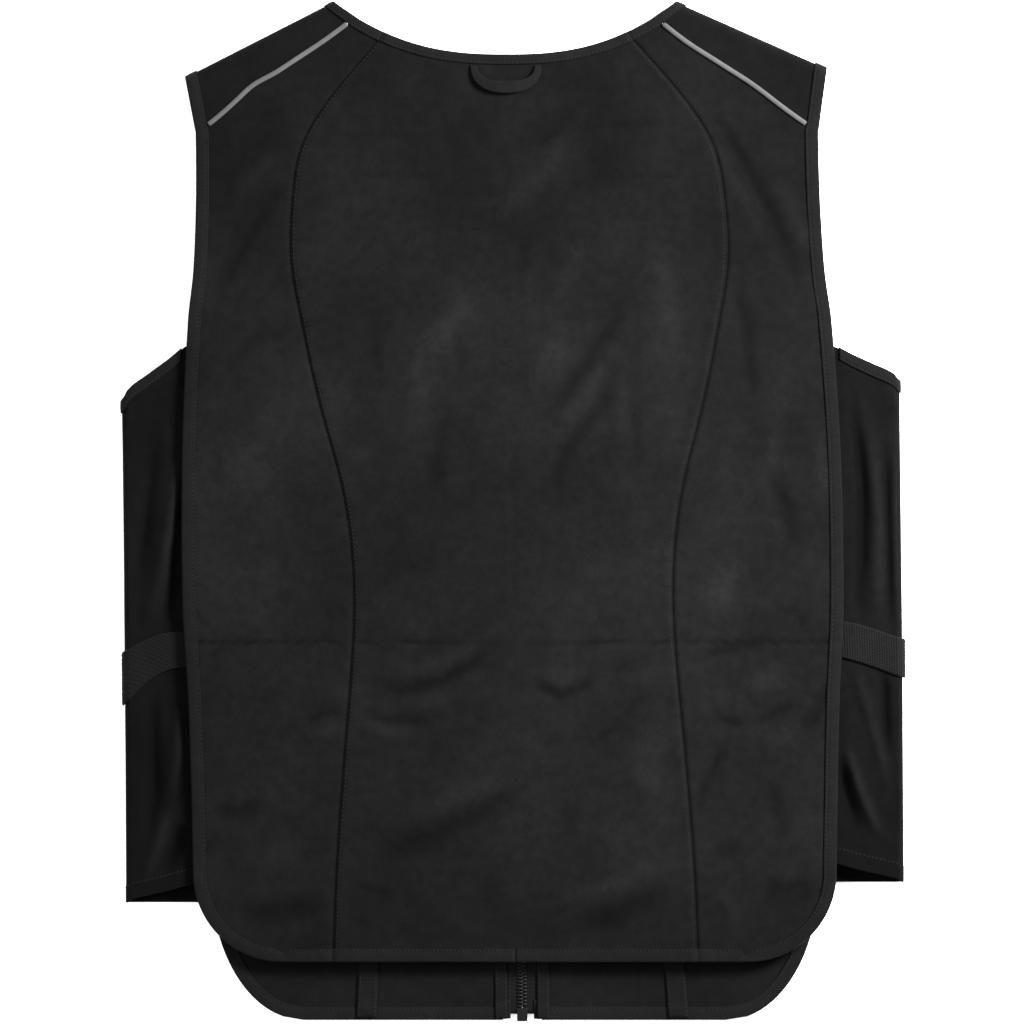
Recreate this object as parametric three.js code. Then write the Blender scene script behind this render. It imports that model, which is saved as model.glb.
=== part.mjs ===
import * as THREE from "three";

// A sleeveless cooling vest lying flat: its front is on the table and its back is up.
// Lengths are millimetres. Q is the distance across from the centre line, and V is the
// distance up from the front hem towards the shoulders.

// Driving sizes of the outline
const LENGTH = 700; // front hem to the highest point of the shoulders
const NECK_HALF = 119; // centre line to the shoulder's neck end
const BACK_NECK_DROP = 37; // depth of the back neckline
const FRONT_NECK_DROP = 170; // depth of the front neckline, where the zip ends
const SHOULDER_HALF = 220; // centre line to the shoulder's outer end
const SHOULDER_DROP = 51; // fall of the shoulder line
const BACK_HALF = 226; // half of the back at the waist
const BACK_HEM_RISE = 45; // back hem above the front hem
const BACK_CORNER = 60; // round of the back's lower corners
const FRONT_HALF = 208; // half of the front at the waist
const FRONT_CORNER_WIDE = 62; // round of the front's lower corners, across
const FRONT_CORNER_HIGH = 95; // and up
const SIDE_HALF = 268; // centre line to the fold of a side panel
const LEAN = 7; // how far the hem lies to the right of the neck

// Cloth, tapes and trim
const CLOTH = 1.6;
const SIDE_CLOTH = 1.2;
const BINDING = 0.8;
const EDGE_BINDING_WIDE = 8;
const NECK_BINDING_WIDE = 6;
const SIDE_TOP_BINDING_WIDE = 8;
const TAPE = 0.7;
const SEAM_TAPE_WIDE = 14;
const WEBBING = 1.6;
const WEBBING_WIDE = 25;
const PIPING_WIDE = 3.4;
const PIPING_HIGH = 1.5;
const LOOP_BAND = 1.3;
const LOOP_BAND_WIDE = 7.5;
const GAP = 0.35; // clearance between pieces that are sewn together

// Zip
const ZIP_SHIFT = 5; // the zip lies this far right of the centre line at the hem
const ZIP_TAPE_HALF = 13.5;
const ZIP_OPEN_HALF = 10.4; // what the facings leave of the tape
const ZIP_FACING_WIDE = 8.3;
const ZIP_TEETH_HALF = 3.4;
const ZIP_TEETH_HIGH = 3;
const ZIP_END_HALF = 3.6;
const ZIP_END_LONG = 9;
const ZIP_END_BELOW_HEM = 2;
const ZIP_TAPE_RISE = 3; // the tape stops this far above the hem
const ZIP_SLIDER_HALF = 4.6;
const ZIP_SLIDER_LONG = 12;

// How the cloth stands off the table
const REST_CLEAR = 0.4; // between a binding and the table
const LIFT = GAP + BINDING + REST_CLEAR; // the front's bound edges stand this high
const LIFT_SPREAD = 55; // over which the front comes down to the table again
const NECK_LIFT_START = 0.8; // share of the zip's height above which the front rises to its neckline
const SHOULDER_LOFT = 10.5; // between the two layers at the shoulder fold
const SIDE_FOLD_RADIUS = 5;
const SIDE_SEAM_REACH = 13; // how far a side panel is sewn in past an edge

// Where the piping seam and the front yoke seam meet the neck and the armhole
const PIPING_NECK_HALF = 103.5;
const PIPING_DROP = 88;
const PIPING_BOW = 2.2;
const YOKE_NECK = { half: 104, drop: 45 };
const YOKE_ARM_DROP = 100;
const FRONT_SEAM_TOP = 0.45; // share of the yoke seam's way from the neck to the armhole
const BACK_SEAM_NECK_HALF = 84;
const FRONT_NECK_BOW = 7;
const ZIP_SHARE = 0.75; // share of the front's rows that lie beside the zip
const CORNER_EASE = 12; // the higher, the closer to its end a side bends to meet a corner

// Hanger loop
const LOOP_HALF = 22;
const LOOP_HANG = 15;
const LOOP_STAND = 3.2;

// Back edge: share of the length, half width as a share of BACK_HALF
const BACK_EDGE = [
  { at: 0.06, half: 0.973 },
  { at: 0.17, half: 0.975 },
  { at: 0.31, half: 0.985 },
  { at: 0.41, half: 1 },
  { at: 0.56, half: 0.996 },
  { at: 0.68, half: 0.975 },
  { at: 0.72, half: 0.958 },
  { at: 0.76, half: 0.949 },
  { at: 0.8, half: 0.944 },
  { at: 0.86, half: 0.943 },
  { at: 0.89, half: 0.948 },
  { at: 0.93, half: 0.972 },
];

// Front side edge and armhole, in the same way as shares of FRONT_HALF
const FRONT_EDGE = [
  { at: 0, half: 1 },
  { at: 0.64, half: 1 },
  { at: 0.76, half: 0.955 },
  { at: 0.86, half: 0.985 },
];

// Back princess seam: share of the way from the hem to the neck, half width as a share of BACK_HALF
const BACK_SEAM = [
  { at: 0, half: 0.556 },
  { at: 0.102, half: 0.544 },
  { at: 0.211, half: 0.521 },
  { at: 0.32, half: 0.494 },
  { at: 0.385, half: 0.485 },
  { at: 0.451, half: 0.4925 },
  { at: 0.515, half: 0.52 },
  { at: 0.603, half: 0.584 },
  { at: 0.69, half: 0.635 },
  { at: 0.755, half: 0.664 },
  { at: 0.82, half: 0.658 },
  { at: 0.875, half: 0.63 },
  { at: 0.924, half: 0.552 },
  { at: 1, half: BACK_SEAM_NECK_HALF / BACK_HALF },
];

// Front seam: share of the way from the hem to the yoke, half width as a share of FRONT_HALF
const FRONT_SEAM = [
  { at: 0, half: 0.517 },
  { at: 0.45, half: 0.45 },
  { at: 0.72, half: 0.53 },
];

// Height of the back's middle surface: share of the length, its edge and its rise in the middle
// as shares of BACK_HIGH
const BACK_HIGH = 20;
const BACK_FLAT = 4; // the higher, the flatter the back lies across
const FOLD_REACH = 6; // the higher, the nearer the folds come to the edge
const BACK_HEIGHT = [
  { at: 0.06, edge: 0.6, crown: 0.075 },
  { at: 0.13, edge: 0.85, crown: 0.2 },
  { at: 0.3, edge: 0.975, crown: 0.3 },
  { at: 0.55, edge: 1, crown: 0.35 },
  { at: 0.72, edge: 0.9, crown: 0.3 },
  { at: 0.84, edge: 0.725, crown: 0.225 },
  { at: 0.92, edge: 0.64, crown: 0.125 },
  { at: 1, edge: 0.61, crown: 0.05 },
];

// Broad soft folds of the back: both ends as shares of BACK_HALF and LENGTH, spread and height
const BACK_FOLDS = [
  { q0: -0.34, v0: 0.45, q1: -0.1, v1: 0.7, spread: 24, high: 2.4 },
  { q0: -0.12, v0: 0.44, q1: 0.16, v1: 0.68, spread: 20, high: -2 },
  { q0: 0.1, v0: 0.44, q1: 0.42, v1: 0.62, spread: 24, high: 2.4 },
  { q0: -0.5, v0: 0.34, q1: 0.1, v1: 0.33, spread: 18, high: -1.8 },
  { q0: 0.5, v0: 0.36, q1: 0.75, v1: 0.3, spread: 18, high: 1.8 },
  { q0: -0.72, v0: 0.82, q1: -0.86, v1: 0.7, spread: 20, high: -1.8 },
  { q0: 0.68, v0: 0.84, q1: 0.86, v1: 0.68, spread: 20, high: -1.8 },
  { q0: -0.3, v0: 0.14, q1: 0.25, v1: 0.24, spread: 26, high: 1.8 },
];

// The two sides of the vest: how much higher its side panel and its shoulder's end lie, the height
// of its strap's middle at the back's edge, and how steeply the strap falls outwards
const SIDES = [
  { name: "left", sign: -1, shift: 0, armRise: 0, strapRise: 254, strapSlope: 0.5 },
  { name: "right", sign: 1, shift: 14, armRise: 6, strapRise: 260, strapSlope: 0.32 },
];

// Side panel outline
const SIDE_HEM_RISE = 80;
const SIDE_HEM_SLOPE = 13;
const SIDE_TOP_DROP = 237; // below the top of the shoulders, at the seam
const SIDE_TOP_FALL = 38;
const SIDE_TOP_SLIP = 4; // how much lower the under layer lies at its seam
const SIDE_NEAR_SHARES = [0.35, 0.7]; // of the way from the fold to the back's edge
const SIDE_SAG = 0.8; // of the way down to the table, one seam reach out from the front's edge
const STRAP_ZONE = 1.5; // how far along the side panel it makes room for the strap, in widths

// Colours and finishes
const FINISHES = {
  cloth: { color: 0x1b1b1c, roughness: 0.9, metalness: 0 },
  stretch: { color: 0x121213, roughness: 0.92, metalness: 0 },
  binding: { color: 0x161617, roughness: 0.85, metalness: 0 },
  piping: { color: 0xb9bcbd, roughness: 0.45, metalness: 0.1 },
  webbing: { color: 0x141415, roughness: 0.8, metalness: 0 },
  tape: { color: 0x131314, roughness: 0.85, metalness: 0 },
  zip: { color: 0x0c0c0d, roughness: 0.4, metalness: 0 },
};

// A smooth value between the rows of a table
function along(rows, key, at) {
  const last = rows.length - 1;
  let i = rows.findIndex((row) => row.at > at) - 1;
  if (i === -2) i = last - 1;
  i = Math.max(0, i);
  const slope = (k) => {
    const a = rows[Math.max(0, k - 1)];
    const b = rows[Math.min(last, k + 1)];
    return (b[key] - a[key]) / (b.at - a.at);
  };
  const span = rows[i + 1].at - rows[i].at;
  const t = THREE.MathUtils.clamp((at - rows[i].at) / span, 0, 1);
  const ease = t * t * (3 - 2 * t);
  const rise = span * (slope(i) * t * (1 - t) ** 2 - slope(i + 1) * t * t * (1 - t));
  return rows[i][key] * (1 - ease) + rows[i + 1][key] * ease + rise;
}

const lerp = THREE.MathUtils.lerp;
const plan = (q, v) => new THREE.Vector2(q, v);
const mix = (a, b, t) => a.clone().lerp(b, t);

// Outline of the back and the front in plan
const backHalf = (v) => BACK_HALF * along(BACK_EDGE, "half", v / LENGTH);
const backNeckV = (q) => LENGTH - BACK_NECK_DROP + BACK_NECK_DROP * (Math.abs(q) / NECK_HALF) ** 2.5;

function frontHalf(v) {
  const half = FRONT_HALF * along(FRONT_EDGE, "half", v / LENGTH);
  const c = THREE.MathUtils.clamp(1 - v / FRONT_CORNER_HIGH, 0, 1);
  return half - FRONT_CORNER_WIDE * (1 - Math.sqrt(1 - c * c));
}

const zipTopV = LENGTH - FRONT_NECK_DROP;
const zipShift = (v) => ZIP_SHIFT * (1 - v / LENGTH);
const frontNeck = (t, sign) => {
  const low = plan(sign * ZIP_TAPE_HALF + zipShift(zipTopV), zipTopV);
  const high = plan(sign * YOKE_NECK.half, LENGTH - YOKE_NECK.drop);
  return mix(low, high, t).add(plan(sign * FRONT_NECK_BOW * Math.sin(Math.PI * t), 0));
};

// Height of the middle surface of each layer above the table
function backHeight(q, v) {
  const across = Math.min(1, Math.abs(q) / backHalf(v));
  const crown = along(BACK_HEIGHT, "crown", v / LENGTH) * (1 - across ** BACK_FLAT);
  const folds = BACK_FOLDS.reduce((sum, fold) => {
    const a = plan(fold.q0 * BACK_HALF, fold.v0 * LENGTH);
    const run = plan(fold.q1 * BACK_HALF, fold.v1 * LENGTH).sub(a);
    const t = THREE.MathUtils.clamp(plan(q, v).sub(a).dot(run) / run.lengthSq(), 0, 1);
    const away = plan(q, v).distanceTo(a.add(run.multiplyScalar(t))) / fold.spread;
    return sum + fold.high * Math.exp(-away * away);
  }, 0);
  return BACK_HIGH * (along(BACK_HEIGHT, "edge", v / LENGTH) + crown) + folds * (1 - across ** FOLD_REACH);
}

function frontHeight(q, v) {
  const { smoothstep } = THREE.MathUtils;
  const fade = (distance) => 1 - smoothstep(distance, EDGE_BINDING_WIDE, EDGE_BINDING_WIDE + LIFT_SPREAD);
  const near = [
    fade(v),
    fade(frontHalf(v) - Math.abs(q)),
    fade(Math.abs(q - zipShift(v)) - ZIP_TAPE_HALF),
    smoothstep(v, NECK_LIFT_START * zipTopV, zipTopV),
  ];
  return CLOTH / 2 + LIFT * Math.max(...near);
}

// How far right of the neck the vest lies at a height
const leaning = (v) => LEAN * Math.cos((Math.PI / 2) * THREE.MathUtils.clamp(v / LENGTH, 0, 1));

// The point of space over a plan point
function lay(point, height) {
  return new THREE.Vector3(point.x + leaning(point.y), point.y, height(point.x, point.y));
}

// A geometry from points and faces, with its faces turned outwards
function solidGeometry(points, faces) {
  const volume = faces.reduce((sum, [a, b, c]) => {
    const cross = new THREE.Vector3().crossVectors(points[b], points[c]);
    return sum + points[a].dot(cross);
  }, 0);
  const outward = volume < 0 ? faces.map(([a, b, c]) => [a, c, b]) : faces;
  const geometry = new THREE.BufferGeometry().setFromPoints(points);
  geometry.setIndex(outward.flat());
  geometry.computeVertexNormals();
  return geometry;
}

// A sheet of even thickness on both sides of a grid of points
function sheetGeometry(grid, thickness) {
  const rows = grid.length;
  const columns = grid[0].length;
  const normal = (i, j) => {
    const across = new THREE.Vector3().subVectors(
      grid[i][Math.min(columns - 1, j + 1)],
      grid[i][Math.max(0, j - 1)],
    );
    const up = new THREE.Vector3().subVectors(
      grid[Math.min(rows - 1, i + 1)][j],
      grid[Math.max(0, i - 1)][j],
    );
    return across.cross(up).normalize();
  };
  const face = (side) => grid.flatMap((row, i) => row.map((point, j) => {
    return point.clone().addScaledVector(normal(i, j), (side * thickness) / 2);
  }));
  const points = [...face(1), ...face(-1)];
  const id = (i, j) => i * columns + j;
  const under = rows * columns;
  const faces = [];
  for (let i = 0; i < rows - 1; i += 1) {
    for (let j = 0; j < columns - 1; j += 1) {
      const [a, b, c, d] = [id(i, j), id(i, j + 1), id(i + 1, j + 1), id(i + 1, j)];
      faces.push([a, b, c], [a, c, d]);
      faces.push([under + a, under + c, under + b], [under + a, under + d, under + c]);
    }
  }
  const rim = [];
  for (let j = 0; j < columns - 1; j += 1) rim.push(id(0, j));
  for (let i = 0; i < rows - 1; i += 1) rim.push(id(i, columns - 1));
  for (let j = columns - 1; j > 0; j -= 1) rim.push(id(rows - 1, j));
  for (let i = rows - 1; i > 0; i -= 1) rim.push(id(i, 0));
  rim.forEach((a, k) => {
    const b = rim[(k + 1) % rim.length];
    faces.push([a, under + a, under + b], [a, under + b, b]);
  });
  return solidGeometry(points, faces);
}

// A solid through a list of equal loops, closed by the loop's own profile at both ends
function sweepGeometry(loops, profile) {
  const size = profile.length;
  const points = loops.flat();
  const faces = [];
  for (let i = 0; i < loops.length - 1; i += 1) {
    for (let k = 0; k < size; k += 1) {
      const [a, b] = [i * size + k, i * size + ((k + 1) % size)];
      faces.push([a, b, b + size], [a, b + size, a + size]);
    }
  }
  const end = (loops.length - 1) * size;
  THREE.ShapeUtils.triangulateShape(profile, []).forEach(([a, b, c]) => {
    const turned = THREE.ShapeUtils.isClockWise(profile) ? [a, b, c] : [a, c, b];
    faces.push(turned, turned.map((k) => end + k).reverse());
  });
  return solidGeometry(points, faces);
}

// The stations along one border of a grid, each with the grid's next point inside. A square
// station is measured across the border, and any other along the grid, as on a folded cloth.
function border(grid, side, square = true) {
  const last = grid.length - 1;
  if (side === "bottom") return grid[0].map((point, j) => ({ point, inside: grid[1][j], square }));
  if (side === "top") return grid[last].map((point, j) => ({ point, inside: grid[last - 1][j], square }));
  const edge = side === "left" ? 0 : grid[0].length - 1;
  const next = side === "left" ? 1 : edge - 1;
  return grid.map((row) => ({ point: row[edge], inside: row[next], square }));
}

// A tape folded over the edge of a cloth, along a list of stations
function bindingGeometry(stations, reach, cloth) {
  const spaced = stations.filter((station, i) =>
    i === 0 || station.point.distanceTo(stations[i - 1].point) > 1.5 * GAP);
  const slot = cloth / 2 + GAP;
  const outer = slot + BINDING;
  const profile = [
    plan(-reach, slot),
    plan(GAP, slot),
    plan(GAP, -slot),
    plan(-reach, -slot),
    plan(-reach, -outer),
    plan(GAP + BINDING, -outer),
    plan(GAP + BINDING, outer),
    plan(-reach, outer),
  ];
  const loops = spaced.map(({ point, inside, square }, i) => {
    const before = spaced[Math.max(0, i - 1)].point;
    const after = spaced[Math.min(spaced.length - 1, i + 1)].point;
    const run = new THREE.Vector3().subVectors(after, before).normalize();
    const out = new THREE.Vector3().subVectors(point, inside);
    if (square) out.addScaledVector(run, -out.dot(run));
    out.normalize();
    const up = new THREE.Vector3().crossVectors(out, run).normalize();
    return profile.map((corner) => {
      return point.clone().addScaledVector(out, corner.x).addScaledVector(up, corner.y);
    });
  });
  return sweepGeometry(loops, profile);
}

// A patch of points between four plan curves that share their corners
function patch(curves, columns, rows, height) {
  const { bottom, top, left, right } = curves;
  return rows.map((s) => columns.map((t) => {
    const sides = mix(left(s), right(s), t).add(mix(bottom(t), top(t), s));
    const corners = mix(mix(left(0), right(0), t), mix(left(1), right(1), t), s);
    return lay(sides.sub(corners), height);
  }));
}

function steps(count, from = 0, to = 1) {
  return Array.from({ length: count + 1 }, (_, k) => lerp(from, to, k / count));
}

// Curves in plan that more than one piece follows
const backSeamTopV = backNeckV(BACK_SEAM_NECK_HALF);

function backSeam(s, sign, inset) {
  const half = BACK_HALF * along(BACK_SEAM, "half", s);
  return plan(sign * (half + inset), lerp(BACK_HEM_RISE, backSeamTopV, s));
}

function piping(u, sign, inset) {
  const neck = plan(PIPING_NECK_HALF, backNeckV(PIPING_NECK_HALF));
  const arm = plan(backHalf(LENGTH - PIPING_DROP), LENGTH - PIPING_DROP);
  const out = plan(neck.y - arm.y, arm.x - neck.x).normalize();
  const point = mix(neck, arm, u).addScaledVector(out, PIPING_BOW * Math.sin(Math.PI * u) + inset);
  return plan(sign * point.x, point.y);
}

function yokeSeam(u, sign, inset) {
  const arm = LENGTH - YOKE_ARM_DROP;
  const point = mix(plan(YOKE_NECK.half, LENGTH - YOKE_NECK.drop), plan(frontHalf(arm), arm), u);
  return plan(sign * point.x, point.y + inset);
}

function frontSeam(s, sign, inset) {
  const top = yokeSeam(FRONT_SEAM_TOP, 1, -GAP / 2);
  const rows = [...FRONT_SEAM, { at: 1, half: top.x / FRONT_HALF }];
  const v = s * top.y;
  const shift = zipShift(v) * (1 - s);
  return plan(sign * (FRONT_HALF * along(rows, "half", s) + inset) + shift, v);
}

// Rows of the front panels: the first ones end at the hem binding and at the end of its lift
const frontSeamTopV = frontSeam(1, 1, 0).y;
const HEM_CLEAR = EDGE_BINDING_WIDE + 2 * GAP;
const FRONT_ROWS = [
  0,
  HEM_CLEAR / frontSeamTopV,
  (HEM_CLEAR + LIFT_SPREAD / 2) / frontSeamTopV,
  ...steps(14, (HEM_CLEAR + LIFT_SPREAD) / frontSeamTopV, 1),
];

// Rows and columns of the back panels: narrow cells lie under the bindings
const BACK_TOP = LENGTH - PIPING_DROP;
const CORNER_SHARE = BACK_CORNER / (BACK_TOP - BACK_HEM_RISE);
const BACK_ROWS = [...steps(4, 0, CORNER_SHARE), ...steps(18, CORNER_SHARE, 0.97).slice(1), 1];
const NECK_SHARE = 0.2;
const BACK_SIDE_COLUMNS = [0, NECK_SHARE / 2, NECK_SHARE, 0.4, 0.6, 0.8, 0.92, 1];

function backCentrePanel() {
  const inset = -GAP / 2;
  const half = backSeam(1, 1, inset).x;
  const hemHalf = backSeam(0, 1, inset).x;
  const neck = (t) => lerp(-half, half, t);
  return patch({
    left: (s) => backSeam(s, -1, inset),
    right: (s) => backSeam(s, 1, inset),
    bottom: (t) => plan(lerp(-hemHalf, hemHalf, t), BACK_HEM_RISE),
    top: (t) => plan(neck(t), backNeckV(neck(t))),
  }, steps(8), BACK_ROWS, backHeight);
}

function backSidePanel(sign) {
  const inset = GAP / 2;
  const edge = (s) => {
    if (s >= CORNER_SHARE) {
      const v = lerp(BACK_HEM_RISE, BACK_TOP, s);
      return plan(sign * backHalf(v), v);
    }
    const angle = (Math.PI / 2) * (s / CORNER_SHARE);
    const v = BACK_HEM_RISE + BACK_CORNER * (1 - Math.cos(angle));
    return plan(sign * (backHalf(v) - BACK_CORNER * (1 - Math.sin(angle))), v);
  };
  const hem = (t) => mix(backSeam(0, sign, inset), edge(0), t);
  const first = backSeam(1, sign, inset);
  const top = (t) => {
    if (t > NECK_SHARE) return piping((t - NECK_SHARE) / (1 - NECK_SHARE), sign, -GAP);
    const q = lerp(first.x, piping(0, sign, -GAP).x, t / NECK_SHARE);
    return t === 0 ? first : plan(q, backNeckV(q) - GAP * (t / NECK_SHARE));
  };
  return patch({
    left: (s) => backSeam(s, sign, inset),
    right: (s) => mix(edge(s), piping(1, sign, -GAP), s ** CORNER_EASE),
    bottom: hem,
    top,
  }, BACK_SIDE_COLUMNS, BACK_ROWS, backHeight);
}

// The yoke runs from the piping over the shoulder fold to its seam on the front
function shoulderYoke({ sign, armRise }) {
  const neck = plan(NECK_HALF, LENGTH);
  const arm = plan(SHOULDER_HALF, LENGTH - SHOULDER_DROP + armRise);
  const out = plan(neck.y - arm.y, arm.x - neck.x).normalize();
  const radius = SHOULDER_LOFT / 2;
  const low = CLOTH / 2 + LIFT;
  const turnDepth = radius + CLOTH / 2;
  return [0, ...steps(7, 0.07, 0.93), 1].map((u) => {
    const fold = mix(neck, arm, u);
    const start = piping(u, 1, GAP);
    const end = yokeSeam(u, 1, GAP / 2);
    const depth = (point) => out.dot(fold.clone().sub(point));
    const towards = (target, share) => mix(fold, target, share / depth(target));
    const startHeight = backHeight(start.x, start.y);
    const back = steps(3).slice(0, -1).map((t) => ({
      at: towards(start, lerp(depth(start), turnDepth, t)),
      high: lerp(startHeight, low + SHOULDER_LOFT, t),
    }));
    const turn = steps(6, Math.PI / 2, -Math.PI / 2).map((angle) => ({
      at: towards(angle > 0 ? start : end, turnDepth - radius * Math.cos(angle)),
      high: low + radius + radius * Math.sin(angle),
    }));
    const front = steps(3).slice(1).map((t) => ({
      at: towards(end, lerp(turnDepth, depth(end), t)),
      high: low,
    }));
    return [...back, ...turn, ...front].map(({ at, high }) => lay(plan(sign * at.x, at.y), () => high));
  });
}

function frontCentrePanel(sign) {
  const inset = -GAP / 2;
  const zipEdge = (s) => {
    if (s > ZIP_SHARE) return frontNeck((s - ZIP_SHARE) / (1 - ZIP_SHARE), sign);
    const v = (s / ZIP_SHARE) * zipTopV;
    return plan(sign * ZIP_TAPE_HALF + zipShift(v), v);
  };
  const seam = (s) => frontSeam(s, sign, inset);
  const top = (t) => yokeSeam(lerp(0, FRONT_SEAM_TOP, t), sign, -GAP / 2);
  return patch({
    left: (s) => mix(zipEdge(s), top(0), s ** CORNER_EASE),
    right: (s) => mix(seam(s), top(1), s ** CORNER_EASE),
    bottom: (t) => mix(zipEdge(0), seam(0), t),
    top,
  }, steps(4), FRONT_ROWS, frontHeight);
}

function frontSidePanel(sign) {
  const inset = GAP / 2;
  const topV = LENGTH - YOKE_ARM_DROP;
  const seam = (s) => frontSeam(s, sign, inset);
  const edge = (s) => {
    const v = topV * s;
    return plan(sign * frontHalf(v), v);
  };
  const top = (t) => {
    const aside = plan(sign * GAP * (1 - t), 0);
    return yokeSeam(lerp(FRONT_SEAM_TOP, 1, t), sign, -GAP / 2).add(aside);
  };
  return patch({
    left: (s) => mix(seam(s), top(0), s ** CORNER_EASE),
    right: (s) => mix(edge(s), top(1), s ** CORNER_EASE),
    bottom: (t) => mix(seam(0), edge(0), t),
    top,
  }, steps(5), FRONT_ROWS, frontHeight);
}

// How far the side panel makes room for its strap
function strapZone(v, { strapRise, strapSlope }) {
  const middle = strapRise - (strapSlope * (SIDE_HALF - BACK_HALF)) / 2;
  const away = Math.abs(v - middle) - STRAP_ZONE * WEBBING_WIDE;
  return 1 - THREE.MathUtils.smoothstep(away, 0, WEBBING_WIDE);
}

// Sections of a side panel: points round its fold, points before it, and the fold's tip
const SIDE_TURN = 6;
const SIDE_FAR = 5;
const SIDE_TIP = SIDE_FAR + SIDE_TURN / 2 - 1;
const SIDE_TURN_FALL = 0.22; // share of the hem's and the top edge's slope that the fold takes up

// What the side panel clears the table by: over the strap, and along its bound top edge
function sideRoom(v, side, high) {
  const wide = SIDE_TOP_BINDING_WIDE;
  const bound = 1 - THREE.MathUtils.smoothstep(high - v, 2 * wide, 4 * wide);
  return Math.max((WEBBING + GAP) * strapZone(v, side), LIFT * bound);
}

// A side panel runs from the front's edge along the table, round its fold and back under the back
function sideSection(v, side, room) {
  const frontTop = CLOTH + LIFT + GAP + BINDING;
  const low = SIDE_CLOTH / 2 + room;
  const over = frontTop + GAP + SIDE_CLOTH / 2;
  const foldQ = SIDE_HALF - SIDE_FOLD_RADIUS - SIDE_CLOTH / 2;
  const edge = frontHalf(v);
  const far = [
    { q: edge - SIDE_SEAM_REACH, z: over },
    { q: edge + 2 * BINDING + GAP, z: over },
    { q: edge + SIDE_SEAM_REACH, z: lerp(over, low, SIDE_SAG) },
    { q: lerp(edge + SIDE_SEAM_REACH, foldQ, 0.5), z: low },
  ];
  const turn = steps(SIDE_TURN, -Math.PI / 2, Math.PI / 2).map((angle) => ({
    q: foldQ + SIDE_FOLD_RADIUS * Math.cos(angle),
    z: low + SIDE_FOLD_RADIUS * (1 + Math.sin(angle)),
  }));
  const back = backHalf(v);
  const bound = CLOTH / 2 + GAP + BINDING + GAP + SIDE_CLOTH / 2;
  const end = backHeight(back, v) - bound - GAP - (WEBBING + GAP) * strapZone(v, side);
  const top = low + 2 * SIDE_FOLD_RADIUS;
  const near = SIDE_NEAR_SHARES.map((t) => ({
    q: lerp(foldQ, back + 2 * BINDING + GAP, t),
    z: lerp(top, end, t * t * (3 - 2 * t)),
  }));
  near.push({ q: back + 2 * BINDING + GAP, z: end }, { q: back - SIDE_SEAM_REACH, z: end });
  return [...far, ...turn, ...near];
}

function sidePanel(side) {
  const { sign, shift } = side;
  const size = sideSection(LENGTH / 2, side, 0).length;
  const outline = (k) => {
    const aside = Math.abs(k - SIDE_TIP) / (SIDE_TURN / 2);
    const inward = aside < 1 ? SIDE_TURN_FALL * aside ** 2 : lerp(SIDE_TURN_FALL, 1, Math.min(1, aside - 1));
    const near = k > SIDE_TIP;
    const slip = near ? 0 : SIDE_TOP_SLIP;
    return {
      low: SIDE_HEM_RISE + shift + (near ? SIDE_HEM_SLOPE * inward : 0),
      high: LENGTH - SIDE_TOP_DROP + (shift - SIDE_TOP_FALL) * (1 - inward) - slip * inward,
    };
  };
  return steps(15).map((s) => Array.from({ length: size }, (_, k) => {
    const { low, high } = outline(k);
    const v = lerp(low, high, s);
    const { q, z } = sideSection(v, side, sideRoom(v, side, high))[k];
    return lay(plan(sign * q, v), () => z);
  }));
}

// A strap follows the outside of the side panel, round its fold
function webbingStrap(side) {
  const { sign, strapRise, strapSlope } = side;
  const first = SIDE_FAR - 2;
  const room = WEBBING + GAP;
  const size = sideSection(LENGTH / 2, side, room).length;
  const middle = (q) => strapRise - strapSlope * Math.max(0, q - BACK_HALF);
  const offset = SIDE_CLOTH / 2 + GAP + WEBBING / 2;
  const place = (k, w) => {
    const rough = sideSection(strapRise, side, room)[k].q;
    const v = middle(rough) + (w * WEBBING_WIDE) / 2;
    const section = sideSection(v, side, room);
    const here = section[k];
    const a = section[Math.max(0, k - 1)];
    const b = section[Math.min(size - 1, k + 1)];
    const out = plan(b.z - a.z, a.q - b.q).normalize();
    return lay(plan(sign * (here.q + offset * out.x), v), () => here.z + offset * out.y);
  };
  const stations = Array.from({ length: size - first }, (_, k) => first + k);
  return [-1, 0, 1].map((w) => stations.map((k) => place(k, w)));
}

// A narrow strip on the front, between two distances from a line up the front
function frontStrip(line, from, to, low, high, offset) {
  return steps(8, low, high).map((v) => [from, to].map((q) => {
    const point = line(v).add(plan(q, 0));
    return lay(point, (x, y) => frontHeight(x, y) + offset);
  }));
}

const zipLine = (v) => plan(zipShift(v), v);
const teethTop = zipTopV - ZIP_SLIDER_LONG - 2 * GAP;

// A tape over a front seam, on the same rows as the panels beside it
function frontSeamTape(sign) {
  const offset = CLOTH / 2 + GAP + TAPE / 2;
  return FRONT_ROWS.slice(1, -1).map((s) => [-1, 1].map((w) => {
    const seam = frontSeam(s, sign, 0);
    const height = frontHeight(seam.x, seam.y) + offset;
    return lay(seam.add(plan((w * SEAM_TAPE_WIDE) / 2, 0)), () => height);
  }));
}

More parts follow.
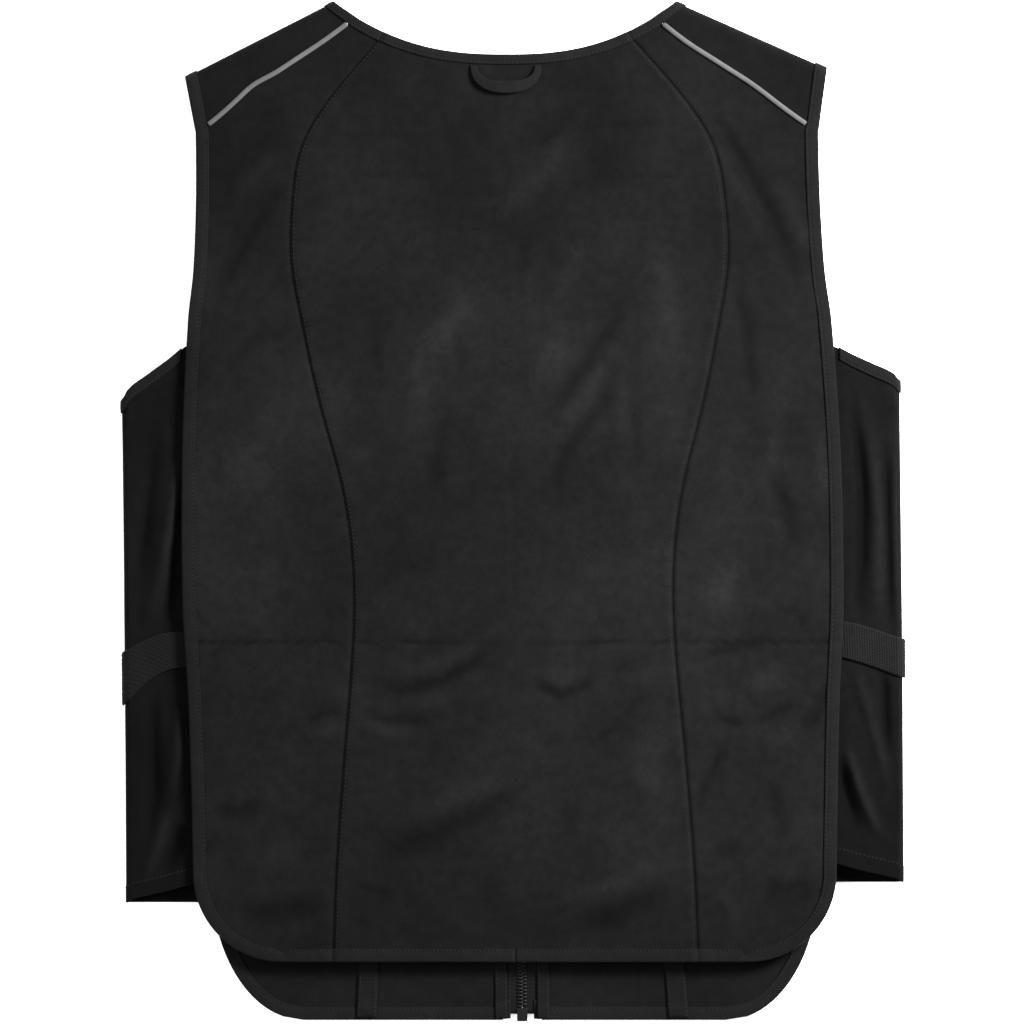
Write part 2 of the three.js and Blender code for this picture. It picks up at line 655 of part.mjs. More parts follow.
// The light cord that is sewn into the seam between yoke and back
function pipingGeometry(sign) {
  const seat = CLOTH / 2 + GAP;
  const bead = steps(5, 0, Math.PI).map((angle) =>
    plan((PIPING_WIDE / 2) * Math.cos(angle), seat + PIPING_HIGH * Math.sin(angle)));
  const length = piping(0, 1, 0).distanceTo(piping(1, 1, 0));
  const clear = (wide) => (wide + PIPING_WIDE + 2 * GAP) / length;
  const reach = steps(10, clear(NECK_BINDING_WIDE), 1 - clear(EDGE_BINDING_WIDE));
  const loops = reach.map((u) => {
    const run = piping(u + 0.01, sign, 0).sub(piping(u - 0.01, sign, 0)).normalize();
    const middle = piping(u, sign, 0);
    const base = backHeight(middle.x, middle.y);
    return bead.map((corner) => {
      const at = plan(-run.y, run.x).multiplyScalar(corner.x).add(middle);
      return lay(at, () => base + corner.y);
    });
  });
  return sweepGeometry(loops, bead);
}

// A flat band that hangs from the back neck and stands a little off the cloth
function hangerLoopGeometry() {
  const topV = LENGTH - BACK_NECK_DROP - NECK_BINDING_WIDE - 2 * GAP;
  const seat = CLOTH / 2 + GAP + LOOP_BAND / 2;
  const grid = steps(16, 0, Math.PI).map((angle) => {
    const out = plan(Math.cos(angle), -Math.sin(angle));
    const middle = plan(LOOP_HALF * out.x, topV + LOOP_HANG * out.y);
    const stand = LOOP_STAND * Math.sin(angle);
    return [-1, 0, 1].map((w) => {
      const at = middle.clone().addScaledVector(out, (w * LOOP_BAND_WIDE) / 2);
      const base = backHeight(at.x, at.y) + seat + stand;
      return lay(at, () => base);
    });
  });
  return sheetGeometry(grid, LOOP_BAND);
}

// A small block on the zip's line
function zipBlock(half, low, high, thick) {
  const middle = CLOTH / 2 + LIFT;
  const grid = [low, high].map((v) => [-half, half].map((q) => {
    return lay(zipLine(v).add(plan(q, 0)), () => middle);
  }));
  return sheetGeometry(grid, thick);
}

// Node by node
const vest = new THREE.Group();

function piece(name, geometry, finish) {
  const mesh = new THREE.Mesh(geometry, new THREE.MeshStandardMaterial(FINISHES[finish]));
  mesh.name = name;
  vest.add(mesh);
}

const backCentre = backCentrePanel();
piece("back_centre_panel", sheetGeometry(backCentre, CLOTH), "cloth");
piece("hanger_loop", hangerLoopGeometry(), "binding");

const collars = [];

SIDES.forEach((side) => {
  const { name, sign } = side;
  const backSide = backSidePanel(sign);
  const yoke = shoulderYoke(side);
  const frontCentre = frontCentrePanel(sign);
  const frontSide = frontSidePanel(sign);
  const sidePatch = sidePanel(side);
  piece(`back_side_panel_${name}`, sheetGeometry(backSide, CLOTH), "cloth");
  piece(`shoulder_yoke_${name}`, sheetGeometry(yoke, CLOTH), "cloth");
  piece(`front_centre_panel_${name}`, sheetGeometry(frontCentre, CLOTH), "cloth");
  piece(`front_side_panel_${name}`, sheetGeometry(frontSide, CLOTH), "cloth");
  piece(`side_panel_${name}`, sheetGeometry(sidePatch, SIDE_CLOTH), "stretch");
  piece(`webbing_strap_${name}`, sheetGeometry(webbingStrap(side), WEBBING), "webbing");
  piece(`reflective_piping_${name}`, pipingGeometry(sign), "piping");
  piece(`front_seam_tape_${name}`, sheetGeometry(frontSeamTape(sign), TAPE), "tape");

  const centreHem = border(backCentre, "bottom");
  const centre = (centreHem.length - 1) / 2;
  const halfHem = sign < 0 ? centreHem.slice(0, centre + 1).reverse() : centreHem.slice(centre);
  const aside = (point) => point.clone().add(new THREE.Vector3(sign * GAP, 0, 0));
  halfHem[0] = { point: aside(halfHem[0].point), inside: aside(halfHem[0].inside) };
  const outerPath = [
    ...border(frontCentre, "bottom"),
    ...border(frontSide, "bottom"),
    ...border(frontSide, "right"),
    ...border(yoke, "top", false).reverse(),
    ...border(backSide, "right").reverse(),
    ...border(backSide, "bottom").reverse(),
    ...halfHem.reverse(),
  ];
  piece(`edge_binding_${name}`, bindingGeometry(outerPath, EDGE_BINDING_WIDE, CLOTH), "binding");

  const uncovered = border(sidePatch, "top", false).filter(({ point }) => {
    const q = Math.abs(point.x - leaning(point.y));
    return q > backHalf(point.y) + EDGE_BINDING_WIDE / 2;
  });
  const sideTop = bindingGeometry(uncovered, SIDE_TOP_BINDING_WIDE, SIDE_CLOTH);
  piece(`side_top_binding_${name}`, sideTop, "binding");

  const neckRow = FRONT_ROWS.filter((s) => s < ZIP_SHARE).length;
  const collar = [
    ...border(frontCentre, "left").slice(neckRow),
    ...border(yoke, "bottom", false).reverse(),
    ...border(backSide, "top").slice(0, BACK_SIDE_COLUMNS.indexOf(NECK_SHARE) + 1).reverse(),
  ];
  collars.push(collar);

  const facing = [ZIP_OPEN_HALF, ZIP_OPEN_HALF + ZIP_FACING_WIDE].map((q) => sign * q);
  const facingLift = CLOTH / 2 + GAP + TAPE / 2;
  const facingTop = zipTopV - NECK_BINDING_WIDE;
  const facingGrid = frontStrip(zipLine, facing[0], facing[1], HEM_CLEAR, facingTop, facingLift);
  piece(`zip_facing_${name}`, sheetGeometry(facingGrid, TAPE), "tape");
  const tapeEdges = [ZIP_TEETH_HALF + GAP, ZIP_TAPE_HALF - GAP].map((q) => sign * q);
  const tapeGrid = frontStrip(zipLine, tapeEdges[0], tapeEdges[1], ZIP_TAPE_RISE, teethTop, 0);
  piece(`zip_tape_${name}`, sheetGeometry(tapeGrid, TAPE), "tape");
});

const neckline = [
  ...collars[0],
  ...border(backCentre, "top"),
  ...collars[1].reverse(),
];
piece("neck_binding", bindingGeometry(neckline, NECK_BINDING_WIDE, CLOTH), "binding");

const teethLow = ZIP_END_LONG - ZIP_END_BELOW_HEM + GAP;
const teethGrid = frontStrip(zipLine, -ZIP_TEETH_HALF, ZIP_TEETH_HALF, teethLow, teethTop, 0);
piece("zip_teeth", sheetGeometry(teethGrid, ZIP_TEETH_HIGH), "zip");
const zipEnd = zipBlock(ZIP_END_HALF, -ZIP_END_BELOW_HEM, ZIP_END_LONG - ZIP_END_BELOW_HEM, ZIP_TEETH_HIGH);
piece("zip_end_box", zipEnd, "zip");
const slider = zipBlock(ZIP_SLIDER_HALF, zipTopV - ZIP_SLIDER_LONG, zipTopV, CLOTH + 2 * LIFT);
piece("zip_slider", slider, "zip");

// The origin is under the middle of the vest, on the table
const box = new THREE.Box3().setFromObject(vest);
const middle = box.getCenter(new THREE.Vector3());
vest.position.set(-middle.x, -middle.y, -box.min.z);

export default vest;
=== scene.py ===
import math

import bmesh
import bpy
import numpy as np
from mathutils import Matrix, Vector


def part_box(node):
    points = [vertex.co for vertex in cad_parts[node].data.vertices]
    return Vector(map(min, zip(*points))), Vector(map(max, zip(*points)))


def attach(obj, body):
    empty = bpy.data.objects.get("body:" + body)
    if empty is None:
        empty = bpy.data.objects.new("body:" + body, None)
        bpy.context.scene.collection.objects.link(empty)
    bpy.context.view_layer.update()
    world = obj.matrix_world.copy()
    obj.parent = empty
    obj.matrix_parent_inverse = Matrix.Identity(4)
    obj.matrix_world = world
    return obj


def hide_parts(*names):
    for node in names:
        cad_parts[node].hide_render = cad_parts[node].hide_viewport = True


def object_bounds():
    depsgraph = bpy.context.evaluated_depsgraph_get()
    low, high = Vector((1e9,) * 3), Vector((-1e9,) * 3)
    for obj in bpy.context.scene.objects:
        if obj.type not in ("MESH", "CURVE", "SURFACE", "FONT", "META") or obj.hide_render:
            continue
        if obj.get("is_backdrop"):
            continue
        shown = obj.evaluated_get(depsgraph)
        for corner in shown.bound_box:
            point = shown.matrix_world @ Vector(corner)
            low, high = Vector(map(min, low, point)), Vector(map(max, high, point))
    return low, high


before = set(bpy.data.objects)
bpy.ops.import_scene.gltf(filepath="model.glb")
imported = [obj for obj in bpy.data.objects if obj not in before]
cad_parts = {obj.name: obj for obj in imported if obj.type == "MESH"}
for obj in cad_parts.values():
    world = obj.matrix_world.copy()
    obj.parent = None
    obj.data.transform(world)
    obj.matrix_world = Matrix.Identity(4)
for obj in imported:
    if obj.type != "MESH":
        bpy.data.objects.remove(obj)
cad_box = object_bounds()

# Lengths are millimetres. Q is the distance across from the centre line, and V is the
# distance up from the front hem towards the shoulders.
MM = 0.001
LENGTH = 700
NECK_HALF = 119
BACK_NECK_DROP = 37
FRONT_NECK_DROP = 170
SHOULDER_HALF = 220
SHOULDER_DROP = 51
BACK_HALF = 226
BACK_HEM_RISE = 40.5
BACK_CORNER = 60
FRONT_HALF = 208
FRONT_CORNER_WIDE = 62
FRONT_CORNER_HIGH = 95
SIDE_HALF = 268
LEAN = 7
FRONT_NECK_BOW = 7
NECK_CURVE = 2.5

# Cloth, tapes and trim
CLOTH = 1.6
SIDE_CLOTH = 1.2
BINDING = 0.8
EDGE_BINDING_WIDE = 8
NECK_BINDING_WIDE = 6
SIDE_TOP_BINDING_WIDE = 8
TAPE = 0.7
SEAM_TAPE_WIDE = 14
WEBBING = 1.6
WEBBING_WIDE = 25
PIPING_WIDE = 3.4
PIPING_MIDDLE = 0.55
PIPING_HALF_HIGH = 0.95
PIPING_END = 0.8
PIPING_CLEAR = 0.2
LOOP_BAND = 1.3
LOOP_BAND_WIDE = 7.5
GAP = 0.35
REST_CLEAR = 0.4
LIFT = GAP + BINDING + REST_CLEAR
LIFT_SPREAD = 55
NECK_LIFT_START = 0.8
SHOULDER_LOFT = 10.5

# Zip
ZIP_SHIFT = 5
ZIP_TAPE_HALF = 13.5
ZIP_OPEN_HALF = 10.4
ZIP_FACING_WIDE = 8.3
ZIP_TEETH_HALF = 3.4
ZIP_MEET = 0.2
ZIP_TEETH_HIGH = 3
ZIP_PITCH = 2.4
ZIP_END_HALF = 3.6
ZIP_END_LONG = 9
ZIP_END_BELOW_HEM = 2
ZIP_END_SHIFT = 0.02
ZIP_TAPE_RISE = 3
ZIP_TAB_FROM = 8
ZIP_TAB_HIGH = 12.5
ZIP_TAB_LIFT = 0.75
ZIP_SLIDER_HALF = 4.6
ZIP_SLIDER_LONG = 12
TOOTH_HALF_LONG = 0.62
TOOTH_REACH = 0.25
TOOTH_CROSSING = 0.3
TOOTH_BEVEL = 0.28
END_BEVEL = 0.22

# Seams
PIPING_NECK_HALF = 103.5
PIPING_DROP = 88
PIPING_BOW = 2.2
# How far each side's piping strays outwards: share of its length, distance
PIPING_SWAY = {
    -1: ((0, 0), (0.2, -1.8), (0.4, -1.8), (0.5, -1.4), (0.63, 0.6),
         (0.75, -0.8), (0.85, -1.8), (0.94, -1.8), (1, 0)),
    1: ((0, 0), (0.2, -2.8), (0.4, -2.6), (0.6, -1.7), (0.8, -2), (0.94, -1.3), (1, 0)),
}
YOKE_NECK = (104, 45)
YOKE_ARM_DROP = 100
FRONT_SEAM_TOP = 0.45
BACK_SEAM_NECK_HALF = 84
ZIP_SHARE = 0.75
CORNER_EASE = 12
NECK_SHARE = 0.2

# Hanger loop
LOOP_HALF = 22
LOOP_HANG = 15
LOOP_STAND = 3.2
LOOP_SQUARE = 0.85
LOOP_END_WIDE = 0.62
LOOP_MORE_WIDE = 0.5

# Side panels and straps
SIDE_FOLD_RADIUS = 5
SIDE_SEAM_REACH = 13
SIDE_HEM_RISE = 80
SIDE_HEM_SLOPE = 13
SIDE_TOP_DROP = 237
SIDE_TOP_FALL = 38
SIDE_TOP_SLIP = 4
SIDE_HEM_TURN = 12
STRAP_ZONE = 1.5
STRAP_CLEAR = 1
STRAP_FADE = 9
SIDE_DROP = 0.7
SIDE_TURN_FALL = 0.22

# The two sides: how much higher the side panel and the shoulder's end lie, and the strap's line
SIDES = (
    {"name": "left", "sign": -1, "shift": 0, "arm_rise": 0,
     "strap_rise": 254.5, "strap_slope": 0.5, "strap_curl": 2.2},
    {"name": "right", "sign": 1, "shift": 14, "arm_rise": 6,
     "strap_rise": 261.5, "strap_slope": 0.32, "strap_curl": 1.3},
)

# Stitches, and the webbing's weave
STITCH_PITCH = 2.9
STITCH_LONG = 2
STITCH_WIDE = 0.6
SEAM_STITCH_INSET = -2.4
WEAVE_RIB = 1.8
WEAVE_WARP = 2

# Stitched patches and seams that show through the back. Patches: centre, half sizes
PATCHES = ((-90, 595, 35, 14), (90, 598, 30, 18))
PATCH_LINE = 1.4
WAIST_SEAM = 260
CHEST_CREASE = 368
CENTRE_CREASE = (275, 426)

# Unevenness of the back's cloth: size, height, seed
BACK_CLOUDS = ((46, 0.55, 3), (19, 0.28, 4), (8, 0.1, 5))

# Grooves of the back: width, depth
SEAM_GROOVE = (1.5, 1.1)
WAIST_GROOVE = (1.4, 0.7)
CHEST_GROOVE = (1.3, 0.2)
CENTRE_GROOVE = (1.2, 0.4)

# Raised cloth beside a seam: distance from it, width, height
SEAM_RIDGE = (-4, 3, 0.35)
WAIST_RIDGE = (-3.5, 2.5, 0.3)

# Bindings and clouds of noise
CLOUD_CELLS = 61
STATION_STEP = 1.2
TAPE_OVERLAP = 0.02
NOSE_INSET = 0.15
STITCH_INSET = 1.5
# Face of a binding from its inner lip: distance from the lip, depth below its outer side
BINDING_FACE = ((0, 0.3), (0.5, 0.02), (0.9, 0.05), (1.5, 0.3), (2.2, 0.02))

# Cloth's gleam, and relief in its bump
CLOTH_GLEAM = 0.045
SHEEN_ROUGH = 0.5
RIB_HIGH = 0.6
YARN_HIGH = 0.25
FUZZ_HIGH = 0.5
RELIEF = 0.25
# Width of one band of the wave texture at scale 1, for slanted ribs and for yarns
RIB_BANDS = 0.444
YARN_BANDS = 0.314
# Noise in the cloths: scale, detail, roughness
BLOTCHES = (11, 5, 0.6)
CLOUDS = (130, 5, 0.7)
SPECKS = (1500, 2, 0.6)
FUZZ = (900, 3, 0.6)

# Floor, lights and camera, in metres and watts
FLOOR_HALF = 6
FLOOR_DROP = 0.0005
SKY = 0.8
SENSOR = 36
VIEW_WIDE = 0.7066
CAMERA = (-0.00056, -0.0006, 5)
# Name, place, size, power
LIGHTS = (
    ("key", (1.3, 0.75, 1.15), 0.6, 190),
    ("fill", (-1.6, 0.2, 1.9), 1.2, 30),
)

# Outline of the back: share of the length, half width as a share of BACK_HALF
BACK_EDGE = (
    (0.06, 0.973), (0.17, 0.975), (0.31, 0.985), (0.41, 1), (0.56, 0.996), (0.68, 0.975),
    (0.72, 0.958), (0.76, 0.949), (0.8, 0.944), (0.86, 0.943), (0.89, 0.948), (0.93, 0.972),
)
FRONT_EDGE = ((0, 1), (0.64, 1), (0.76, 0.955), (0.86, 0.985))
BACK_SEAM = (
    (0, 0.556), (0.102, 0.544), (0.211, 0.521), (0.32, 0.494), (0.385, 0.485), (0.451, 0.4925),
    (0.515, 0.52), (0.603, 0.584), (0.69, 0.635), (0.755, 0.664), (0.82, 0.658), (0.875, 0.63),
    (0.924, 0.552), (1, BACK_SEAM_NECK_HALF / BACK_HALF),
)
FRONT_SEAM = ((0, 0.517), (0.45, 0.45), (0.72, 0.53))

# Height of the back's middle surface: share of the length, its edge, its rise in the middle
BACK_HEIGHT_EDGE = (
    (0.06, 12), (0.13, 17), (0.3, 19.5), (0.55, 20), (0.72, 18), (0.84, 14.5), (0.92, 12.8), (1, 12.2),
)
BACK_HEIGHT_CROWN = (
    (0.06, 1.5), (0.13, 4), (0.3, 6), (0.55, 7), (0.72, 6), (0.84, 4.5), (0.92, 2.5), (1, 1),
)

# Folds of the back: spread, height, and the (q, v) points that each one follows
BACK_CREASES = (
    (10.3, 1.6, ((-74, 388), (-62, 454), (-34, 489), (-3, 509))),
    (5.5, -0.9, ((-92, 501), (-94, 468), (-92, 430))),
    (3.4, -0.7, ((-42, 485), (-37, 461), (-34, 437))),
    (6.2, -1.2, ((-44, 423), (-51, 392), (-57, 354))),
    (6.2, -1.5, ((11, 399), (42, 437), (70, 478), (84, 513))),
    (11, 2, ((99, 547), (104, 495), (109, 433))),
    (5.5, -1.5, ((77, 464), (63, 426), (38, 391), (19, 354))),
    (5.5, 1.2, ((66, 461), (48, 426), (25, 399))),
    (8.3, 1.3, ((46, 485), (26, 454), (8, 426))),
    (7.6, 1.1, ((52, 540), (39, 513), (26, 487))),
    (3.4, -0.8, ((16, 554), (9, 523), (3, 494))),
    (2.8, 0.7, ((77, 453), (75, 426), (76, 388))),
    (3.4, -0.7, ((83, 430), (85, 399), (82, 370))),
    (5.5, -1.2, ((152, 518), (162, 475), (166, 409))),
    (6.9, -1.7, ((169, 392), (185, 357), (198, 315))),
    (9.7, 1.5, ((144, 316), (140, 288), (144, 271))),
    (6.2, 1.3, ((210, 420), (214, 378), (212, 344))),
    (6.2, 1.1, ((194, 440), (179, 413), (175, 371), (181, 330))),
    (5.5, -2.2, ((133, 635), (159, 592), (186, 538), (205, 497))),
    (6.9, 1.4, ((181, 582), (200, 547), (209, 518))),
    (6.2, 0.9, ((133, 613), (157, 571), (177, 530))),
    (5.5, -2, ((-152, 580), (-181, 540), (-208, 485))),
    (8.3, -1.2, ((-155, 635), (-181, 606), (-204, 573))),
    (5.5, 1, ((-153, 604), (-174, 582), (-195, 554))),
    (4.1, -0.8, ((-141, 477), (-175, 469), (-206, 435))),
    (13.8, 1.2, ((-151, 437), (-172, 406), (-193, 357))),
    (6.2, -1, ((7, 601), (28, 614), (49, 631))),
    (6.9, 1.2, ((54, 625), (31, 593), (8, 567), (-21, 545))),
    (4.8, -0.7, ((-19, 570), (-2, 567))),
    (3.4, -0.8, ((-216, 247), (-201, 254), (-178, 259))),
    (4.1, -2.1, ((-102, 235), (-80, 225), (-52, 232), (-30, 244), (-7, 261))),
    (4.8, 1.2, ((-98, 241), (-65, 239), (-33, 254), (-9, 273))),
    (4.8, 1, ((-92, 217), (-58, 218), (-23, 226))),
    (3.4, -1.9, ((8, 236), (18, 228), (32, 223), (47, 229), (61, 241))),
    (4.8, 1.1, ((15, 241), (32, 233), (49, 244))),
    (3.4, -0.8, ((58, 266), (75, 279))),
    (5.5, -0.9, ((53, 244), (73, 241), (98, 250))),
    (3.4, -1.5, ((-149, 200), (-133, 210), (-113, 213))),
    (3.4, -1.3, ((-109, 214), (-91, 206), (-51, 203))),
    (4.1, 0.9, ((-148, 193), (-127, 200), (-113, 203))),
    (4.1, 1, ((-109, 204), (-89, 197), (-55, 194))),
    (2.4, -0.6, ((-113, 182), (-95, 180))),
    (2.4, -0.5, ((-115, 156), (-105, 157))),
    (9, 1.4, ((-103, 131), (-51, 147), (9, 178))),
    (7.6, -1.7, ((-107, 109), (-58, 124), (12, 164))),
    (3.4, -1, ((44, 175), (56, 192), (74, 207), (104, 239))),
    (12.4, 1.7, ((94, 209), (88, 178), (97, 140))),
    (4.8, -0.9, ((42, 150), (35, 133), (28, 117))),
    (4.8, 1.2, ((21, 76), (66, 92), (108, 110))),
    (9, -1.8, ((31, 59), (67, 71), (113, 91))),
    (6.9, -1.7, ((-213, 145), (-189, 142), (-170, 150))),
    (7.6, -1.7, ((-195, 73), (-162, 72), (-128, 79))),
    (9.7, 1.3, ((-202, 109), (-169, 112), (-138, 123))),
    (2.8, -0.9, ((-115, 91), (-99, 89), (-81, 84))),
    (4.1, -0.7, ((-114, 68), (-95, 62))),
    (2.4, -1.4, ((135, 210), (148, 204), (160, 201))),
    (3.1, -1.5, ((160, 201), (180, 211), (197, 219))),
    (4.1, -2, ((196, 197), (208, 213), (220, 236))),
    (3.4, -1.3, ((150, 197), (138, 178), (128, 157), (124, 135))),
    (3.1, -1.2, ((117, 235), (124, 246), (142, 254), (183, 261))),
    (9, 1.6, ((153, 226), (173, 232), (194, 241))),
    (6.2, 1.1, ((164, 188), (183, 193), (197, 204))),
    (2.1, -0.9, ((112, 266), (122, 260))),
    (3.4, -1, ((208, 261), (194, 280), (177, 282))),
    (6.9, -1.2, ((174, 170), (180, 144), (186, 116))),
    (5.5, -1, ((131, 115), (159, 116))),
    (9, -1.8, ((164, 90), (186, 87), (212, 91))),
    (2.8, -0.8, ((126, 105), (143, 108))),
    (2.8, -0.7, ((126, 73), (139, 70))),
    (6.2, 1, ((136, 95), (147, 78), (152, 61))),
    (2.8, -1.2, ((-219, 284), (-215, 276), (-210, 269))),
    (4.1, -0.9, ((-133, 276), (-121, 281), (-113, 282))),
)


def lerp(a, b, t):
    return a + (b - a) * t


def smooth(t):
    t = np.clip(t, 0, 1)
    return t * t * (3 - 2 * t)


def along(rows, at):
    """A smooth value between the rows of a table of (place, value)."""
    place, value = np.array(rows, float).T
    slope = np.gradient(value, place)
    slope[1:-1] = (value[2:] - value[:-2]) / (place[2:] - place[:-2])
    i = np.clip(np.searchsorted(place, at, side="right") - 1, 0, len(place) - 2)
    span = place[i + 1] - place[i]
    t = np.clip((at - place[i]) / span, 0, 1)
    ease = t * t * (3 - 2 * t)
    rise = span * (slope[i] * t * (1 - t) ** 2 - slope[i + 1] * t * t * (1 - t))
    return value[i] * (1 - ease) + value[i + 1] * ease + rise


def plan(q, v):
    return np.stack(np.broadcast_arrays(q, v), -1).astype(float)


def cloudy(x, y, size, seed):
    """Smooth seeded noise from -1 to 1, with features of a given size."""
    lattice = np.random.default_rng(seed).uniform(-1, 1, (CLOUD_CELLS, CLOUD_CELLS))
    x, y = np.broadcast_arrays(np.asarray(x, float) / size, np.asarray(y, float) / size)
    i, j = np.floor(x).astype(int), np.floor(y).astype(int)
    s, t = smooth(x - i), smooth(y - j)
    corner = lambda a, b: lattice[(i + a) % CLOUD_CELLS, (j + b) % CLOUD_CELLS]
    low = lerp(corner(0, 0), corner(1, 0), s)
    high = lerp(corner(0, 1), corner(1, 1), s)
    return lerp(low, high, t)


# Outline in plan
def back_half(v):
    return BACK_HALF * along(BACK_EDGE, np.asarray(v) / LENGTH)


def back_neck(q):
    return LENGTH - BACK_NECK_DROP + BACK_NECK_DROP * (np.abs(q) / NECK_HALF) ** NECK_CURVE


def front_half(v):
    v = np.asarray(v, float)
    c = np.clip(1 - v / FRONT_CORNER_HIGH, 0, 1)
    return FRONT_HALF * along(FRONT_EDGE, v / LENGTH) - FRONT_CORNER_WIDE * (1 - np.sqrt(1 - c * c))


def zip_shift(v):
    return ZIP_SHIFT * (1 - np.asarray(v, float) / LENGTH)


ZIP_TOP = LENGTH - FRONT_NECK_DROP
SEAM_TOP = back_neck(BACK_SEAM_NECK_HALF)
BACK_TOP = LENGTH - PIPING_DROP
CORNER_SHARE = BACK_CORNER / (BACK_TOP - BACK_HEM_RISE)


def seam_half(v):
    return BACK_HALF * along(BACK_SEAM, (v - BACK_HEM_RISE) / (SEAM_TOP - BACK_HEM_RISE))


def back_seam(s, sign, inset):
    return plan(sign * (BACK_HALF * along(BACK_SEAM, s) + inset), lerp(BACK_HEM_RISE, SEAM_TOP, s))


def piping(u, sign, inset):
    u = np.asarray(u, float)[..., None]
    neck = np.array((PIPING_NECK_HALF, back_neck(PIPING_NECK_HALF)))
    arm = np.array((float(back_half(BACK_TOP)), BACK_TOP))
    out = np.array((neck[1] - arm[1], arm[0] - neck[0]))
    out /= np.hypot(*out)
    sway = along(PIPING_SWAY[sign], u)
    return (lerp(neck, arm, u) + out * (PIPING_BOW * np.sin(np.pi * u) + sway + inset)) * (sign, 1)


def yoke_seam(u, sign, inset):
    u = np.asarray(u, float)[..., None]
    arm = LENGTH - YOKE_ARM_DROP
    neck = np.array((YOKE_NECK[0], LENGTH - YOKE_NECK[1]))
    return (lerp(neck, np.array((float(front_half(arm)), arm)), u) + (0, inset)) * (sign, 1)


def front_seam(s, sign, inset):
    s = np.asarray(s, float)
    top = yoke_seam(FRONT_SEAM_TOP, 1, -GAP / 2)
    half = FRONT_HALF * along((*FRONT_SEAM, (1, top[0] / FRONT_HALF)), s)
    v = s * top[1]
    return plan(sign * (half + inset) + zip_shift(v) * (1 - s), v)


# Heights
def fold_height(folds, q, v):
    """Soft ridges and valleys along drawn paths, fading out at their ends."""
    q, v = np.broadcast_arrays(np.asarray(q, float), np.asarray(v, float))
    total = np.zeros(q.shape)
    for spread, high, path in folds:
        nearest = np.full(q.shape, 1e9)
        at = np.zeros(q.shape)
        start = 0
        for (q0, v0), (q1, v1) in zip(path[:-1], path[1:]):
            long = math.hypot(q1 - q0, v1 - v0)
            t = np.clip(((q - q0) * (q1 - q0) + (v - v0) * (v1 - v0)) / long ** 2, 0, 1)
            away = np.hypot(q - lerp(q0, q1, t), v - lerp(v0, v1, t))
            nearer = away < nearest
            at = np.where(nearer, start + t * long, at)
            nearest = np.where(nearer, away, nearest)
            start += long
        taper = smooth(np.minimum(at, start - at) / (0.35 * start))
        total += high * taper * np.exp(-(nearest / spread) ** 2)
    return total


def line_groove(distance, wide, deep):
    return -deep * np.exp(-(distance / wide) ** 2)


def ridge(distance, at, wide, high):
    return high * np.exp(-((distance - at) / wide) ** 2)


def patch_lines(q, v):
    """How strongly the patches' outlines show at each point."""
    total = 0
    for q0, v0, wide, tall in PATCHES:
        outline = np.maximum(np.abs(q - q0) - wide, np.abs(v - v0) - tall)
        total = total + np.exp(-(outline / PATCH_LINE) ** 2)
    return 0.5 * total * (0.6 + 0.4 * cloudy(q, v, 14, 8))


def back_detail(q, v):
    across = np.minimum(1, np.abs(q) / back_half(v))
    z = fold_height(BACK_CREASES, q, v) * (1 - across ** 10)
    for size, high, seed in BACK_CLOUDS:
        z = z + high * cloudy(q, v, size, seed)
    from_seam = np.abs(q) - seam_half(v)
    z += line_groove(from_seam, *SEAM_GROOVE) + ridge(from_seam, *SEAM_RIDGE)
    z += ridge(from_seam, 0, 9, 0.3) * cloudy(q * 0.35, v, 5.5, 6)
    waist = v - WAIST_SEAM - 1.2 * cloudy(q, 0, 60, 7)
    z += line_groove(waist, *WAIST_GROOVE) + ridge(waist, *WAIST_RIDGE)
    z += line_groove(v - CHEST_CREASE, *CHEST_GROOVE) * smooth((np.abs(q) - 95) / 30)
    low, high = CENTRE_CREASE
    z += line_groove(q, *CENTRE_GROOVE) * smooth((v - low) / 30) * smooth((high - v) / 30)
    return z - patch_lines(q, v)


def back_height(q, v):
    at = np.asarray(v, float) / LENGTH
    across = np.minimum(1, np.abs(q) / back_half(v))
    crown = along(BACK_HEIGHT_CROWN, at) * (1 - across ** 4)
    return along(BACK_HEIGHT_EDGE, at) + crown + back_detail(q, v)


def front_height(q, v):
    fade = lambda distance: 1 - smooth((distance - EDGE_BINDING_WIDE) / LIFT_SPREAD)
    near = np.maximum(fade(v), fade(front_half(v) - np.abs(q)))
    near = np.maximum(near, fade(np.abs(q - zip_shift(v)) - ZIP_TAPE_HALF))
    near = np.maximum(near, smooth((v / ZIP_TOP - NECK_LIFT_START) / (1 - NECK_LIFT_START)))
    ripple = 0.35 * (1 + cloudy(q, v, 30, 9)) * smooth((v - 12) / 30)
    return CLOTH / 2 + LIFT * near + ripple


# From plan to space: the same frame as the CAD, found from one of its nodes
end_low, end_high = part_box("zip_end_box")
ORIGIN_Q = (end_low[0] + end_high[0]) / 2 / MM - ZIP_SHIFT - LEAN + ZIP_END_SHIFT
ORIGIN_V = end_low[1] / MM + ZIP_END_BELOW_HEM


def leaning(v):
    return LEAN * np.cos(np.pi / 2 * np.clip(v / LENGTH, 0, 1))


def lay(points, height):
    q, v = points[..., 0], points[..., 1]
    z = height(q, v) if callable(height) else height
    return np.stack(np.broadcast_arrays(q + leaning(v) + ORIGIN_Q, v + ORIGIN_V, z), -1)


def patch(left, right, bottom, top, t, s):
    """Plan points between four curves that share their corners."""
    w, h = t[None, :, None], s[:, None, None]
    one = lambda curve, at: curve(np.array([float(at)]))[0]
    sides = lerp(left(s)[:, None], right(s)[:, None], w) + lerp(bottom(t)[None], top(t)[None], h)
    ends = lerp(lerp(one(left, 0), one(right, 0), w), lerp(one(left, 1), one(right, 1), w), h)
    return sides - ends


def mixed(a, b, t):
    return a + (b - a) * t[..., None]


